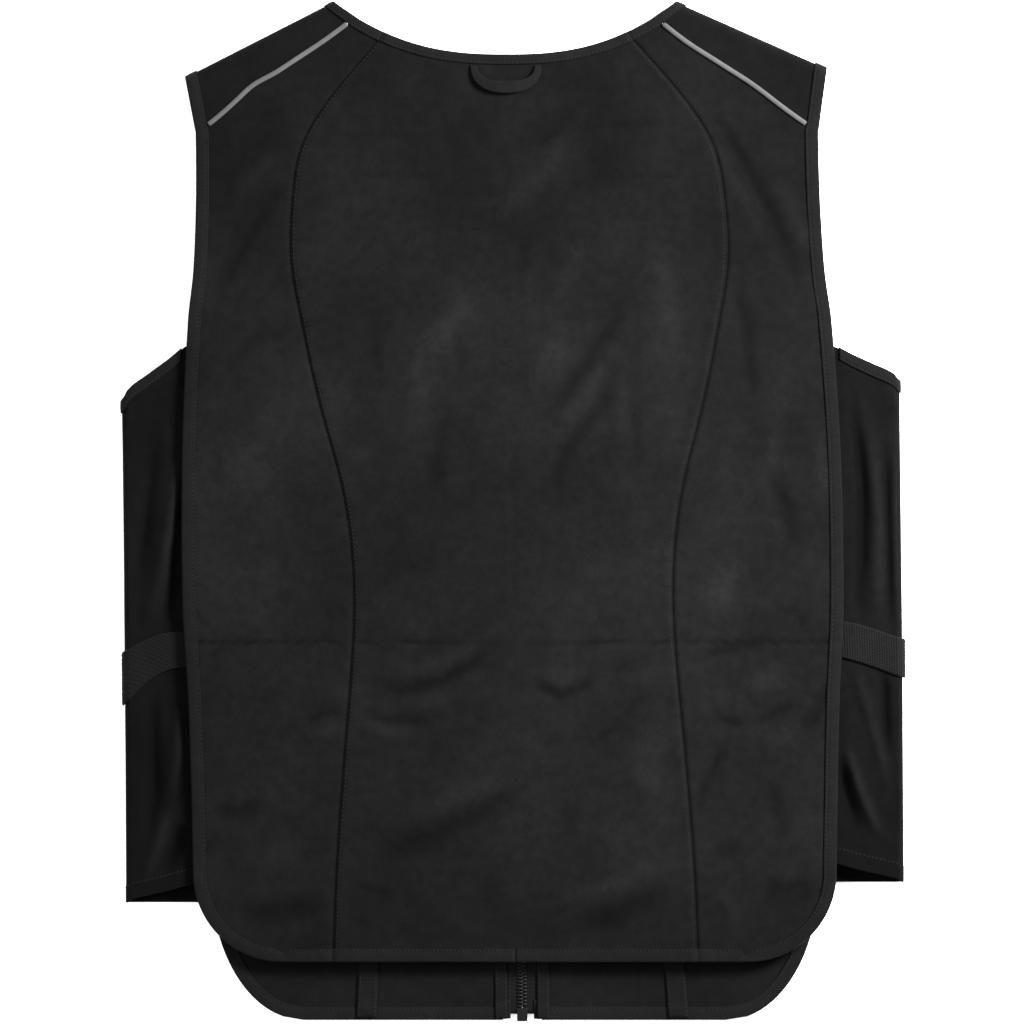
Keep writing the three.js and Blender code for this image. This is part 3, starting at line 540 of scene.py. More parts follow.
# Meshes
def unit(vectors):
    return vectors / np.maximum(np.linalg.norm(vectors, axis=-1, keepdims=True), 1e-9)


def grid_normals(grid):
    return unit(np.cross(np.gradient(grid, axis=1), np.gradient(grid, axis=0)))


def arcs(grid):
    """The distance along the rows and along the columns of a grid."""
    across = np.zeros(grid.shape[:2])
    across[:, 1:] = np.cumsum(np.linalg.norm(np.diff(grid, axis=1), axis=-1), axis=1)
    up = np.zeros(grid.shape[:2])
    up[1:] = np.cumsum(np.linalg.norm(np.diff(grid, axis=0), axis=-1), axis=0)
    return np.stack((across, up), -1)


def make(name, points, faces, uv, material, slot, nodes=(), painted_shade_and_tone=None):
    """A piece of the vest from points in millimetres, riding on the vest's one body."""
    faces = [tuple(face) for face in faces]
    first = np.array([face[:3] for face in faces])
    a, b, c = (points[first[:, k]] for k in range(3))
    if np.einsum("ij,ij->i", a, np.cross(b, c)).sum() < 0:
        faces = [face[::-1] for face in faces]
    mesh = bpy.data.meshes.new(name)
    mesh.from_pydata((points * MM).tolist(), [], faces)
    if uv is not None:
        layer = mesh.uv_layers.new(name="UVMap")
        at = np.empty(len(mesh.loops), int)
        mesh.loops.foreach_get("vertex_index", at)
        layer.data.foreach_set("uv", (uv[at] * MM).ravel())
    # Painted light and shade, with some random tone, kept as a point attribute for the material.
    if painted_shade_and_tone is not None:
        mesh.attributes.new("painted_shade_and_tone", "FLOAT", "POINT").data.foreach_set("value", painted_shade_and_tone)
    mesh.polygons.foreach_set("use_smooth", [True] * len(mesh.polygons))
    mesh.update()
    piece = bpy.data.objects.new(name, mesh)
    bpy.context.collection.objects.link(piece)
    mesh.materials.append(material)
    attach(piece, "root")
    if nodes:
        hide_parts(*nodes)
    return piece


def sheet_parts(grid, thickness):
    """Points and faces of a closed sheet round a grid of middle points."""
    rows, columns = grid.shape[:2]
    half = grid_normals(grid) * (np.broadcast_to(thickness, (rows, columns)) / 2)[..., None]
    points = np.concatenate(((grid + half).reshape(-1, 3), (grid - half).reshape(-1, 3)))
    number = np.arange(rows * columns).reshape(rows, columns)
    under = rows * columns
    a, b, c, d = (x.ravel() for x in (number[:-1, :-1], number[:-1, 1:], number[1:, 1:], number[1:, :-1]))
    rim = np.concatenate((number[0, :-1], number[:-1, -1], number[-1, :0:-1], number[:0:-1, 0]))
    after = np.roll(rim, -1)
    faces = np.concatenate((
        np.stack((a, b, c, d), 1),
        np.stack((a, d, c, b), 1) + under,
        np.stack((rim, rim + under, after + under, after), 1),
    ))
    return points, faces


def sheet(name, grid, thickness, material, slot, nodes=(), uv=None, painted_shade_and_tone=None):
    points, faces = sheet_parts(grid, thickness)
    uv = arcs(grid) if uv is None else uv
    uv = np.tile(uv.reshape(-1, 2), (2, 1))
    painted_shade_and_tone = None if painted_shade_and_tone is None else np.tile(np.asarray(painted_shade_and_tone, float).ravel(), 2)
    return make(name, points, faces, uv, material, slot, nodes, painted_shade_and_tone)


def sweep(name, loops, material, slot, nodes=()):
    """A closed solid through equal loops of points."""
    count, size = loops.shape[:2]
    i, k = np.meshgrid(np.arange(count - 1) * size, np.arange(size), indexing="ij")
    k2 = (k + 1) % size
    faces = np.stack((i + k, i + k2, i + k2 + size, i + k + size), -1).reshape(-1, 4).tolist()
    faces.append(list(range(size))[::-1])
    faces.append(list(range((count - 1) * size, count * size)))
    uv = arcs(loops)[..., ::-1].reshape(-1, 2)
    return make(name, loops.reshape(-1, 3), faces, uv, material, slot, nodes)


def copies(name, unit_points, unit_faces, places, material, slot, nodes=()):
    """One small shape at many places: each place is (origin, three axes)."""
    size = len(unit_points)
    points = np.concatenate([origin + unit_points @ axes for origin, axes in places])
    faces = [tuple(k + n * size for k in face) for n in range(len(places)) for face in unit_faces]
    return make(name, points, faces, None, material, slot, nodes)


def stitch_shape():
    """A short rounded bar with pointed ends that dip into the cloth."""
    angle = np.arange(6) * np.pi / 3
    ring = np.stack((np.zeros(6), np.cos(angle), np.sin(angle)), 1)
    points = np.concatenate(([(-1, 0, -0.5)], ring - (0.55, 0, 0), ring + (0.55, 0, 0), [(1, 0, -0.5)]))
    faces = []
    for k in range(6):
        j = (k + 1) % 6
        faces += [(0, 1 + j, 1 + k), (1 + k, 1 + j, 7 + j, 7 + k), (7 + k, 7 + j, 13)]
    return points, faces


def stitches(name, lines, material, slot):
    """Rows of stitches along lines of (points, up directions)."""
    places = []
    for points, ups in lines:
        at = np.concatenate(([0], np.cumsum(np.linalg.norm(np.diff(points, axis=0), axis=1))))
        marks = np.arange(STITCH_PITCH / 2, at[-1], STITCH_PITCH)
        if not len(marks):
            continue
        read = lambda values, places: np.stack([np.interp(places, at, values[:, k]) for k in range(3)], 1)
        here = read(points, marks)
        run = unit(read(points, marks + 0.5) - read(points, marks - 0.5))
        up = read(ups, marks)
        side = unit(np.cross(up, run))
        up = np.cross(run, side)
        for o, x, y, z in zip(here, run, side, up):
            places.append((o, np.stack((x * STITCH_LONG / 2, y * STITCH_WIDE / 2, z * STITCH_WIDE / 2))))
    shape, faces = stitch_shape()
    return copies(name, shape, faces, places, material, slot)


# Bindings
def border(grid, side, square=True):
    """Each point of a border with its neighbour inside, and whether to measure across the border."""
    edge = {"bottom": (grid[0], grid[1]), "top": (grid[-1], grid[-2]),
            "left": (grid[:, 0], grid[:, 1]), "right": (grid[:, -1], grid[:, -2])}[side]
    return np.concatenate((edge[0], edge[1], np.full((len(edge[0]), 1), float(square))), 1)


def binding_frame(path):
    """Stations along a border, at least STATION_STEP apart, each with its own three axes."""
    kept = [0]
    for k in range(1, len(path)):
        if np.linalg.norm(path[k, :3] - path[kept[-1], :3]) > STATION_STEP:
            kept.append(k)
    kept[-1] = len(path) - 1
    path = path[kept]
    points, inside, square = path[:, :3], path[:, 3:6], path[:, 6:]
    run = unit(np.gradient(points, axis=0))
    out = points - inside
    out = out - run * np.einsum("ij,ij->i", out, run)[:, None] * square
    out = unit(out)
    near = np.concatenate((out[:1], out, out[-1:]))
    out = unit(near[:-2] + near[1:-1] + near[2:])
    up = unit(np.cross(out, run))
    return points, run, out, up


def binding(name, path, reach, cloth, material, nodes, seams):
    """A tape folded over an edge, rounded at the edge, with a row of stitches on each face."""
    points, run, out, up = binding_frame(path)
    slot = cloth / 2 + GAP
    outer = slot + BINDING
    turn = np.linspace(-np.pi / 2, np.pi / 2, 9)
    nose = [(GAP + (BINDING + NOSE_INSET) * math.cos(a) - NOSE_INSET, outer * math.sin(a)) for a in turn]
    side = [(along_face - reach, outer - deep) for along_face, deep in BINDING_FACE]
    side += [(-reach * 0.5, outer + 0.12), (-1, outer)]
    profile = [(-reach, slot), (GAP, slot), (GAP, -slot), (-reach, -slot)]
    profile += [(x, -y) for x, y in side] + nose + side[::-1]
    profile = np.array(profile)
    at = np.cumsum(np.linalg.norm(np.diff(points, axis=0, prepend=points[:1]), axis=1))
    ripple = 1 + 0.06 * cloudy(at, 0, 4, 21) + 0.05 * cloudy(at, 9, 15, 22)
    x = profile[None, :, 0] * np.ones_like(at)[:, None]
    y = profile[None, :, 1] * np.where(np.abs(profile[:, 1]) > slot + 0.01, ripple[:, None], 1)
    loops = points[:, None] + out[:, None] * x[..., None] + up[:, None] * y[..., None]
    for face in (1, -1):
        seams.append((points - out * (reach - STITCH_INSET) + up * face * (outer - 0.12), up * face))
    return sweep(name, loops, material, "binding", nodes)


# Materials
def put(node, **values):
    """Sets a node's own settings, and its sockets by name."""
    for key, value in values.items():
        if hasattr(node, key):
            setattr(node, key, value)
        else:
            node.inputs[key.replace("_", " ")].default_value = value
    return node


def blank(name, **values):
    """A new material, with a maker of nodes that are fed by others, its links and its shader."""
    material = bpy.data.materials.new(name)
    material.use_nodes = True
    nodes, links = material.node_tree.nodes, material.node_tree.links

    def add(kind, feeds=(), **settings):
        node = put(nodes.new(kind), **settings)
        for socket, output in dict(feeds).items():
            links.new(output, node.inputs[socket])
        return node

    return material, add, links, put(nodes["Principled BSDF"], **values)


def fabric(name, colour, weave, rib, bump, rough, sheen, mottle=0.3, kind="DIAGONAL", painted_shade_and_tone=0.0):
    """Woven cloth: ribs and yarn in the bump, blotches and specks in the colour, and where a strength is
    given, painted light and shade with some random tone from the mesh's attribute.
    """
    material, add, links, shader = blank(
        name, Roughness=rough, Specular_IOR_Level=CLOTH_GLEAM,
        Sheen_Weight=sheen, Sheen_Roughness=SHEEN_ROUGH)
    place = add("ShaderNodeTexCoord").outputs

    def noise(source, scale, detail, roughness):
        return add("ShaderNodeTexNoise", {"Vector": place[source]},
                   Scale=scale, Detail=detail, Roughness=roughness).outputs["Fac"]

    def bands(direction, scale, distortion=0.0, detail_scale=1.0):
        return add("ShaderNodeTexWave", {"Vector": place["UV"]}, wave_type="BANDS", wave_profile="SIN",
                   bands_direction=direction, Scale=scale, Distortion=distortion,
                   Detail_Scale=detail_scale).outputs["Fac"]

    def combine(operation, first, second):
        node = add("ShaderNodeMath", operation=operation)
        for socket, value in zip(node.inputs, (first, second)):
            if isinstance(value, (int, float)):
                socket.default_value = value
            else:
                links.new(value, socket)
        return node.outputs[0]

    def spread(value, low, high, change):
        return add("ShaderNodeMapRange", {"Value": value}, From_Min=low, From_Max=high,
                   To_Min=1 - change, To_Max=1 + change).outputs[0]

    broad = spread(noise("Object", *BLOTCHES), 0.3, 0.7, mottle)
    middle = spread(noise("Object", *CLOUDS), 0.3, 0.7, 0.85 * mottle)
    fine = spread(noise("UV", *SPECKS), 0.3, 0.7, 0.15)
    tone = combine("MULTIPLY", combine("MULTIPLY", broad, middle), fine)
    # Painted light and shade, with some random tone, read from the mesh's attribute.
    if painted_shade_and_tone:
        attribute = add("ShaderNodeAttribute", attribute_name="painted_shade_and_tone")
        tone = combine("MULTIPLY", tone, spread(attribute.outputs["Fac"], -1, 1, painted_shade_and_tone))
    paint = add("ShaderNodeMix", data_type="RGBA", blend_type="MULTIPLY", Factor=1)
    paint.inputs[6].default_value = (*colour, 1)
    links.new(tone, paint.inputs[7])
    links.new(paint.outputs[2], shader.inputs["Base Color"])

    ribs = combine("MULTIPLY", bands(kind, RIB_BANDS / (rib * MM), 0.6, 2), RIB_HIGH)
    yarns = combine("MULTIPLY", bands("X", YARN_BANDS / (weave * MM)), YARN_HIGH)
    fuzz = combine("MULTIPLY", noise("UV", *FUZZ), FUZZ_HIGH)
    relief = combine("ADD", combine("ADD", ribs, yarns), fuzz)
    raised = add("ShaderNodeBump", {"Height": relief}, Strength=bump, Distance=RELIEF * MM)
    links.new(raised.outputs["Normal"], shader.inputs["Normal"])
    return material


def moulded(name, colour, rough, gleam):
    """Moulded plastic with a fine grain and rubbed patches."""
    material, add, links, shader = blank(name, Base_Color=(*colour, 1), Specular_IOR_Level=gleam)
    place = add("ShaderNodeTexCoord").outputs["Object"]
    grain = add("ShaderNodeTexNoise", {"Vector": place}, Scale=700).outputs["Fac"]
    gloss = add("ShaderNodeMapRange", {"Value": grain}, To_Min=rough * 0.7, To_Max=rough * 1.4)
    links.new(gloss.outputs[0], shader.inputs["Roughness"])
    raised = add("ShaderNodeBump", {"Height": grain}, Strength=0.15, Distance=0.1 * MM)
    links.new(raised.outputs["Normal"], shader.inputs["Normal"])
    return material


# Cloths: name, colour, yarn and rib spacing in mm, bump, roughness, sheen, mottling
# The last setting of the twill, stretch twill and webbing is the strength of their painted light and shade.
TWILL = fabric("twill", (0.0036, 0.0036, 0.0038), 0.5, 0.95, 0.6, 0.9, 0.007, 0.32, painted_shade_and_tone=0.5)
# Painted shade: the yoke is the back's twill made darker, like the back's darker top.
YOKE_TWILL = fabric("yoke_twill", (0.0018, 0.0018, 0.0019), 0.5, 0.95, 0.35, 0.92, 0.004, 0.25)
# Painted shade: the front is the back's twill made darker, where it lies low under the back's hem.
FRONT_TWILL = fabric("front_twill", (0.0026, 0.0026, 0.0027), 0.5, 0.95, 0.6, 0.92, 0.004, 0.25)
STRETCH = fabric("stretch_twill", (0.0017, 0.0017, 0.0018), 0.6, 1.2, 0.7, 0.92, 0.003, 0.3, painted_shade_and_tone=0.7)
BOUND = fabric("bias_tape", (0.0032, 0.0032, 0.0034), 0.4, 0.7, 0.5, 0.8, 0.006, 0.2)
RIBBED = fabric("webbing", (0.0025, 0.0025, 0.0027), 0.8, 1.2, 0.4, 0.7, 0.01, 0.2, kind="Y", painted_shade_and_tone=0.5)
WOVEN = fabric("woven_tape", (0.0028, 0.0028, 0.003), 0.4, 0.8, 0.5, 0.8, 0.006, 0.2, kind="Y")
GREY = fabric("reflective_piping", (0.05, 0.0505, 0.0515), 0.5, 0.6, 0.3, 0.5, 0, 0.15)
THREAD = fabric("thread", (0.0068, 0.0068, 0.0072), 0.2, 0.3, 0.2, 0.6, 0.01, 0.15)
# Moulded parts: name, colour, roughness, gleam
PLASTIC = moulded("moulded_plastic", (0.003, 0.003, 0.0032), 0.3, 0.14)
TOOTH = moulded("zip_teeth_plastic", (0.004, 0.004, 0.0042), 0.42, 0.12)


# Back
def steps(*marks):
    """Places from mark to mark: each mark is (end, count)."""
    places = [0.0]
    for end, count in marks:
        places += list(np.linspace(places[-1], end, count + 1)[1:])
    return np.array(places)


BACK_ROWS = steps((CORNER_SHARE, 34), (1, 186))
CENTRE_COLUMNS = steps((0.009, 3), (0.02, 2), (0.98, 86), (0.991, 2), (1, 3))
SIDE_COLUMNS = steps((0.018, 3), (0.04, 2), (NECK_SHARE, 10), (1, 40))
FRONT_ROWS = steps((0.16, 40), (1, 110))


def back_painted_shade_and_tone(points):
    """Painted light and shade on the back's cloth, with random tone: fold ridges lighter, valleys, seams,
    patch outlines, top, hem and right side darker.
    """
    q, v = points[..., 0], points[..., 1]
    # Painted light on the folds, ridges lighter and valleys darker; the two clouds are random tone.
    tone = 0.55 * fold_height(BACK_CREASES, q, v) + 0.3 * cloudy(q, v, 60, 31) + 0.2 * cloudy(q, v, 17, 32)
    # Painted shade along the princess seams, the waist seam and the patches' outlines.
    tone -= ridge(np.abs(q), seam_half(v), 1.3, 1.6) + ridge(v, WAIST_SEAM, 1.4, 1) + patch_lines(q, v)
    # Painted shade towards the top, the hem and the right side.
    tone -= 0.8 * smooth((v - 430) / 190) + 0.3 * smooth((190 - v) / 140) + 0.3 * smooth((q - 110) / 70)
    return np.clip(tone, -1.7, 1)


def back_centre():
    inset = -GAP / 2
    half, hem_half = (back_seam(np.array([s]), 1, inset)[0, 0] for s in (1.0, 0.0))
    points = patch(
        lambda s: back_seam(s, -1, inset),
        lambda s: back_seam(s, 1, inset),
        lambda t: plan(lerp(-hem_half, hem_half, t), BACK_HEM_RISE),
        lambda t: plan(lerp(-half, half, t), back_neck(lerp(-half, half, t))),
        CENTRE_COLUMNS, BACK_ROWS,
    )
    return points, lay(points, back_height)


def back_side(sign):
    inset = GAP / 2

    def edge(s):
        v = lerp(BACK_HEM_RISE, BACK_TOP, s)
        angle = np.pi / 2 * np.minimum(1, s / CORNER_SHARE)
        v = np.where(s < CORNER_SHARE, BACK_HEM_RISE + BACK_CORNER * (1 - np.cos(angle)), v)
        return plan(sign * (back_half(v) - BACK_CORNER * (1 - np.sin(angle))), v)

    first = back_seam(np.array([1.0]), sign, inset)[0]
    last = piping(0, sign, -GAP)

    def top(t):
        share = np.clip(t / NECK_SHARE, 0, 1)
        q = lerp(first[0], last[0], share)
        rise = lerp(first[1] - back_neck(first[0]), last[1] - back_neck(last[0]), share)
        neck = plan(q, rise + back_neck(q))
        seam = piping(np.clip((t - NECK_SHARE) / (1 - NECK_SHARE), 0, 1), sign, -GAP)
        return np.where((t > NECK_SHARE)[:, None], seam, neck)

    hem_in, hem_out = back_seam(np.array([0.0]), sign, inset)[0], edge(np.array([0.0]))[0]
    points = patch(
        lambda s: back_seam(s, sign, inset),
        lambda s: mixed(edge(s), piping(1, sign, -GAP), s ** CORNER_EASE),
        lambda t: mixed(hem_in, hem_out, t),
        top,
        SIDE_COLUMNS, BACK_ROWS,
    )
    return points, lay(points, back_height)


def shoulder_yoke(sign, arm_rise):
    """The yoke from the piping on the back, round the shoulder's fold, to its seam on the front."""
    neck = np.array((NECK_HALF, LENGTH), float)
    arm = np.array((SHOULDER_HALF, LENGTH - SHOULDER_DROP + arm_rise), float)
    out = np.array((neck[1] - arm[1], arm[0] - neck[0]))
    out /= np.hypot(*out)
    radius = SHOULDER_LOFT / 2
    low = CLOTH / 2 + LIFT
    turn_depth = radius + CLOTH / 2
    u = steps((1, 60))
    fold, start, end = mixed(neck, arm, u), piping(u, 1, GAP), yoke_seam(u, 1, GAP / 2)
    depth = lambda point: (fold - point) @ out
    towards = lambda target, share: mixed(fold, target, share / depth(target))
    start_high = back_height(start[:, 0] * sign, start[:, 1])
    rows = []
    for t in np.linspace(0, 1, 16)[:-1]:
        deep = lerp(depth(start), turn_depth, t)
        rows.append((towards(start, deep), lerp(start_high, low + SHOULDER_LOFT, t)))
    for angle in np.linspace(np.pi / 2, -np.pi / 2, 15):
        target = start if angle > 0 else end
        share = np.full(len(u), turn_depth - radius * math.cos(angle))
        rows.append((towards(target, share), np.full(len(u), low + radius + radius * math.sin(angle))))
    for t in np.linspace(0, 1, 20)[1:]:
        rows.append((towards(end, lerp(turn_depth, depth(end), t)), np.full(len(u), low)))
    points = np.stack([row[0] for row in rows], 1) * (sign, 1)
    z = np.stack([row[1] for row in rows], 1)
    over = smooth(np.arange(len(rows)) / 4) * smooth((22 - np.arange(len(rows))) / 10)
    q, v = points[..., 0], points[..., 1]
    z = z + over * (0.5 * cloudy(q, v, 24, 41) + 0.25 * cloudy(q, v, 9, 42))
    return lay(points, z)


def front_centre(sign):
    inset = -GAP / 2

    def zip_edge(s):
        v = np.minimum(s / ZIP_SHARE, 1) * ZIP_TOP
        beside = plan(sign * ZIP_TAPE_HALF + zip_shift(v), v)
        t = np.clip((s - ZIP_SHARE) / (1 - ZIP_SHARE), 0, 1)
        low = plan(sign * ZIP_TAPE_HALF + zip_shift(ZIP_TOP), ZIP_TOP)
        high = plan(sign * YOKE_NECK[0], LENGTH - YOKE_NECK[1])
        neck = mixed(low, high, t) + plan(sign * FRONT_NECK_BOW * np.sin(np.pi * t), 0)
        return np.where((s > ZIP_SHARE)[:, None], neck, beside)

    top = lambda t: yoke_seam(lerp(0, FRONT_SEAM_TOP, t), sign, -GAP / 2)
    ends = (top(0), top(1))
    hem = (zip_edge(np.array([0.0]))[0], front_seam(np.array([0.0]), sign, inset)[0])
    points = patch(
        lambda s: mixed(zip_edge(s), ends[0], s ** CORNER_EASE),
        lambda s: mixed(front_seam(s, sign, inset), ends[1], s ** CORNER_EASE),
        lambda t: mixed(*hem, t),
        top,
        steps((1, 34)), FRONT_ROWS,
    )
    return points, lay(points, front_height)


def front_side(sign):
    inset = GAP / 2
    top_v = LENGTH - YOKE_ARM_DROP
    edge = lambda s: plan(sign * front_half(top_v * s), top_v * s)
    top = lambda t: yoke_seam(lerp(FRONT_SEAM_TOP, 1, t), sign, -GAP / 2) + plan(sign * GAP * (1 - t), 0)
    ends = (top(0.0), top(1.0))
    hem = (front_seam(np.array([0.0]), sign, inset)[0], edge(np.array([0.0]))[0])
    points = patch(
        lambda s: mixed(front_seam(s, sign, inset), ends[0], s ** CORNER_EASE),
        lambda s: mixed(edge(s), ends[1], s ** CORNER_EASE),
        lambda t: mixed(*hem, t),
        top,
        steps((1, 30)), FRONT_ROWS,
    )
    return points, lay(points, front_height)


# Side panels: section points run from the front's edge round the fold to the back's edge
SIDE_TURN = 6
SIDE_FAR = 5
SIDE_TIP = SIDE_FAR + SIDE_TURN / 2 - 1


def strap_zone(v, side):
    middle = side["strap_rise"] - side["strap_slope"] * (SIDE_HALF - BACK_HALF) / 2
    return 1 - smooth((np.abs(v - middle) - STRAP_ZONE * WEBBING_WIDE) / WEBBING_WIDE)


def strap_line(aside, side):
    """Middle of the strap and its slope, at a distance out from the back's edge."""
    wide = SIDE_HALF - BACK_HALF
    share = np.maximum(0, aside) / wide
    fall = side["strap_slope"] * wide * share ** side["strap_curl"]
    slope = side["strap_slope"] * side["strap_curl"] * share ** (side["strap_curl"] - 1)
    return side["strap_rise"] - fall, slope


def side_section(k, v, side, room):
    """Q and height of the side panel at section place k and distance v."""
    front_top = CLOTH + LIFT + GAP + BINDING
    low = SIDE_CLOTH / 2 + room
    over = front_top + GAP + SIDE_CLOTH / 2
    fold = SIDE_HALF - SIDE_FOLD_RADIUS - SIDE_CLOTH / 2
    edge = front_half(v)
    section = [
        (edge - SIDE_SEAM_REACH, over),
        (edge + 2 * BINDING + GAP, over),
        (edge + SIDE_SEAM_REACH, lerp(over, low, 0.8)),
        (lerp(edge + SIDE_SEAM_REACH, fold, 0.5), low),
    ]
    for angle in np.linspace(-np.pi / 2, np.pi / 2, SIDE_TURN + 1):
        turned = SIDE_FOLD_RADIUS * (1 + math.sin(angle))
        section.append((fold + SIDE_FOLD_RADIUS * math.cos(angle), low + turned))
    back = back_half(v)
    bound = CLOTH / 2 + GAP + BINDING + GAP + SIDE_CLOTH / 2
    edge_high = along(BACK_HEIGHT_EDGE, v / LENGTH) - SIDE_DROP
    end = edge_high - bound - GAP - (WEBBING + GAP) * strap_zone(v, side)
    top = low + 2 * SIDE_FOLD_RADIUS
    for t in (0.35, 0.7):
        section.append((lerp(fold, back + 2 * BINDING + GAP, t), lerp(top, end, t * t * (3 - 2 * t))))
    section += [(back + 2 * BINDING + GAP, end), (back - SIDE_SEAM_REACH, end)]
    table = np.stack([np.stack(np.broadcast_arrays(q, z, v)[:2], -1) for q, z in section])
    i = np.clip(np.floor(k).astype(int), 0, len(section) - 2)
    t = (k - i)[..., None]
    at = lambda n: np.take_along_axis(table, np.clip(i + n, 0, len(section) - 1)[None, ..., None], 0)[0]
    before, a, b, after = at(-1), at(0), at(1), at(2)
    bend = 2 * before - 5 * a + 4 * b - after + t * (3 * (a - b) + after - before)
    return a + 0.5 * t * (b - before + t * bend)


def side_room(v, side, high):
    wide = SIDE_TOP_BINDING_WIDE
    bound = 1 - smooth((high - v - 2 * wide) / (2 * wide))
    return np.maximum((WEBBING + GAP) * strap_zone(v, side), LIFT * bound)


# Folds of each side panel's upper layer, read in the same way as the back's
SIDE_CREASES = {
    "left": (
        (5, 2.6, ((-228, 400), (-233, 357), (-241, 316), (-250, 278), (-255, 254))),
        (5, -3.4, ((-225, 385), (-229, 330), (-234, 288), (-236, 262))),
        (5, -1.8, ((-243, 414), (-248, 371), (-254, 330), (-259, 288))),
        (4, 1.8, ((-231, 219), (-233, 178), (-238, 150))),
        (5, -2.6, ((-248, 236), (-249, 192), (-248, 150), (-252, 123))),
        (4.5, 2.8, ((-233, 154), (-243, 130), (-254, 98), (-262, 84))),
        (5, -3.6, ((-227, 138), (-233, 117), (-244, 100))),
    ),
    "right": (
        (4.5, -4, ((234, 442), (238, 406), (241, 371), (240, 316), (237, 278), (236, 262))),
        (5, 2.6, ((240, 426), (247, 392), (251, 344), (250, 288), (246, 258))),
        (3.2, -2.6, ((256, 406), (258, 357), (259, 316), (259, 258))),
        (4, 1.2, ((264, 413), (264, 345), (264, 275))),
        (4, 1.8, ((233, 258), (235, 240), (242, 217), (249, 192), (256, 166), (260, 147))),
        (3.5, -3, ((256, 258), (255, 226), (256, 198), (258, 175))),
        (3.6, 3.2, ((226, 195), (232, 175), (239, 154), (248, 133), (260, 121))),
        (4.5, -3.8, ((225, 182), (227, 158), (234, 137), (238, 126))),
    ),
}


def side_panel(side):
    """Grid, thickness, plan, hem line and painted light and shade of the folded side panel."""
    name, sign, shift = side["name"], side["sign"], side["shift"]
    k, s = np.meshgrid(np.linspace(0, 14, 127), steps((0.002, 3), (0.04, 8), (1, 96)))
    aside = np.abs(k - SIDE_TIP) / (SIDE_TURN / 2)
    beyond = lerp(SIDE_TURN_FALL, 1, np.clip(aside - 1, 0, 1))
    inward = np.where(aside < 1, SIDE_TURN_FALL * aside ** 2, beyond)
    near = smooth((k - SIDE_TIP) / 2)
    low = SIDE_HEM_RISE + shift + near * SIDE_HEM_SLOPE * inward
    high = LENGTH - SIDE_TOP_DROP + (shift - SIDE_TOP_FALL) * (1 - inward)
    high = high - (1 - near) * SIDE_TOP_SLIP * inward
    v = lerp(low, high, s)
    section = side_section(k, v, side, side_room(v, side, high))
    q, z = section[..., 0] * sign, section[..., 1]
    middle, slope = strap_line(np.abs(q) - BACK_HALF, side)
    beside = np.abs(v - middle) - WEBBING_WIDE / 2 * np.sqrt(1 + slope ** 2)
    free = smooth((beside - STRAP_CLEAR) / STRAP_FADE) * smooth((k - 9) / 1.2) * smooth((14 - k) / 1.2)
    free = free * smooth((high - v) / 14) * smooth((v - low) / 14)
    detail = fold_height(SIDE_CREASES[name], q, v)
    uneven = 0.5 * cloudy(q, v * 0.3, 7, 51 + sign) + 0.3 * cloudy(q, v, 16, 54 + sign)
    z = z + free * (detail + uneven)
    hem = np.clip((v - low) / SIDE_CLOTH * 2, 0.05, 1)
    turned = smooth((SIDE_HEM_TURN - (v - low)) / 1.2)
    thickness = (SIDE_CLOTH + 0.5 * turned) * np.sqrt(1 - (1 - hem) ** 2)
    # Painted light and shade: the folds' ridges lighter and their valleys darker, and painted shade on the
    # lower part.
    painted_shade_and_tone = np.clip(0.4 * detail * free - 0.5 * smooth((250 - v) / 90), -1, 1)
    return lay(np.stack((q, v), -1), z), thickness, plan(q, v), low, painted_shade_and_tone


def webbing_strap(side):
    """Grid, woven thickness and painted light and shade of the strap, which follows the side panel round its
    fold.
    """
    k, w = np.meshgrid(np.linspace(3, 14, 420), np.linspace(-1, 1, 49))
    room = WEBBING + GAP
    rough = side_section(k, np.full(k.shape, float(side["strap_rise"])), side, room)[..., 0]
    middle, slope = strap_line(rough - BACK_HALF, side)
    v = middle + w * WEBBING_WIDE / 2 * np.sqrt(1 + slope ** 2)
    here = side_section(k, v, side, room)
    run = side_section(k + 0.1, v, side, room) - side_section(k - 0.1, v, side, room)
    out = unit(np.stack((run[..., 1], -run[..., 0]), -1))
    at = here + out * (SIDE_CLOTH / 2 + GAP + WEBBING / 2)
    grid = lay(np.stack((at[..., 0] * side["sign"], v), -1), at[..., 1])
    reach = arcs(grid)[..., 0]
    across = (w + 1) * WEBBING_WIDE / 2
    rib = np.abs(np.sin(np.pi * reach / WEAVE_RIB))
    warp = np.sin(2 * np.pi * across / WEAVE_WARP + np.pi * np.floor(reach / WEAVE_RIB))
    edge = smooth((1 - np.abs(w)) / 0.06)
    thickness = WEBBING * (0.72 + 0.36 * rib * edge + 0.26 * warp * rib * edge) * (0.45 + 0.55 * edge)
    # Painted light and shade of the weave: the ribs lighter, the gaps between them darker.
    return grid, thickness, 2 * rib - 1.2


# Tapes on the front
def front_strip(low, high, count, edges, offset):
    v = np.linspace(low, high, count)[:, None]
    q = np.asarray(edges, float)[None] + zip_shift(v)
    return lay(plan(q, v), lambda a, b: front_height(a, b) + offset)


def over_hem(v):
    """How much a tape on the front rises to pass over the hem's binding."""
    return (GAP + BINDING) * smooth((EDGE_BINDING_WIDE + 2.5 - v) / 1.6)


seam_lines = []


def top_stitch(line):
    seam_lines.append((line, np.broadcast_to((0.0, 0, 1), line.shape)))


def tape(name, grid, columns, nodes, material=WOVEN):
    """A flat tape, with a row of stitches along each of some columns."""
    sheet(name, grid, TAPE, material, "tape", nodes)
    for column in columns:
        top_stitch(grid[:, column] + (0, 0, TAPE / 2))


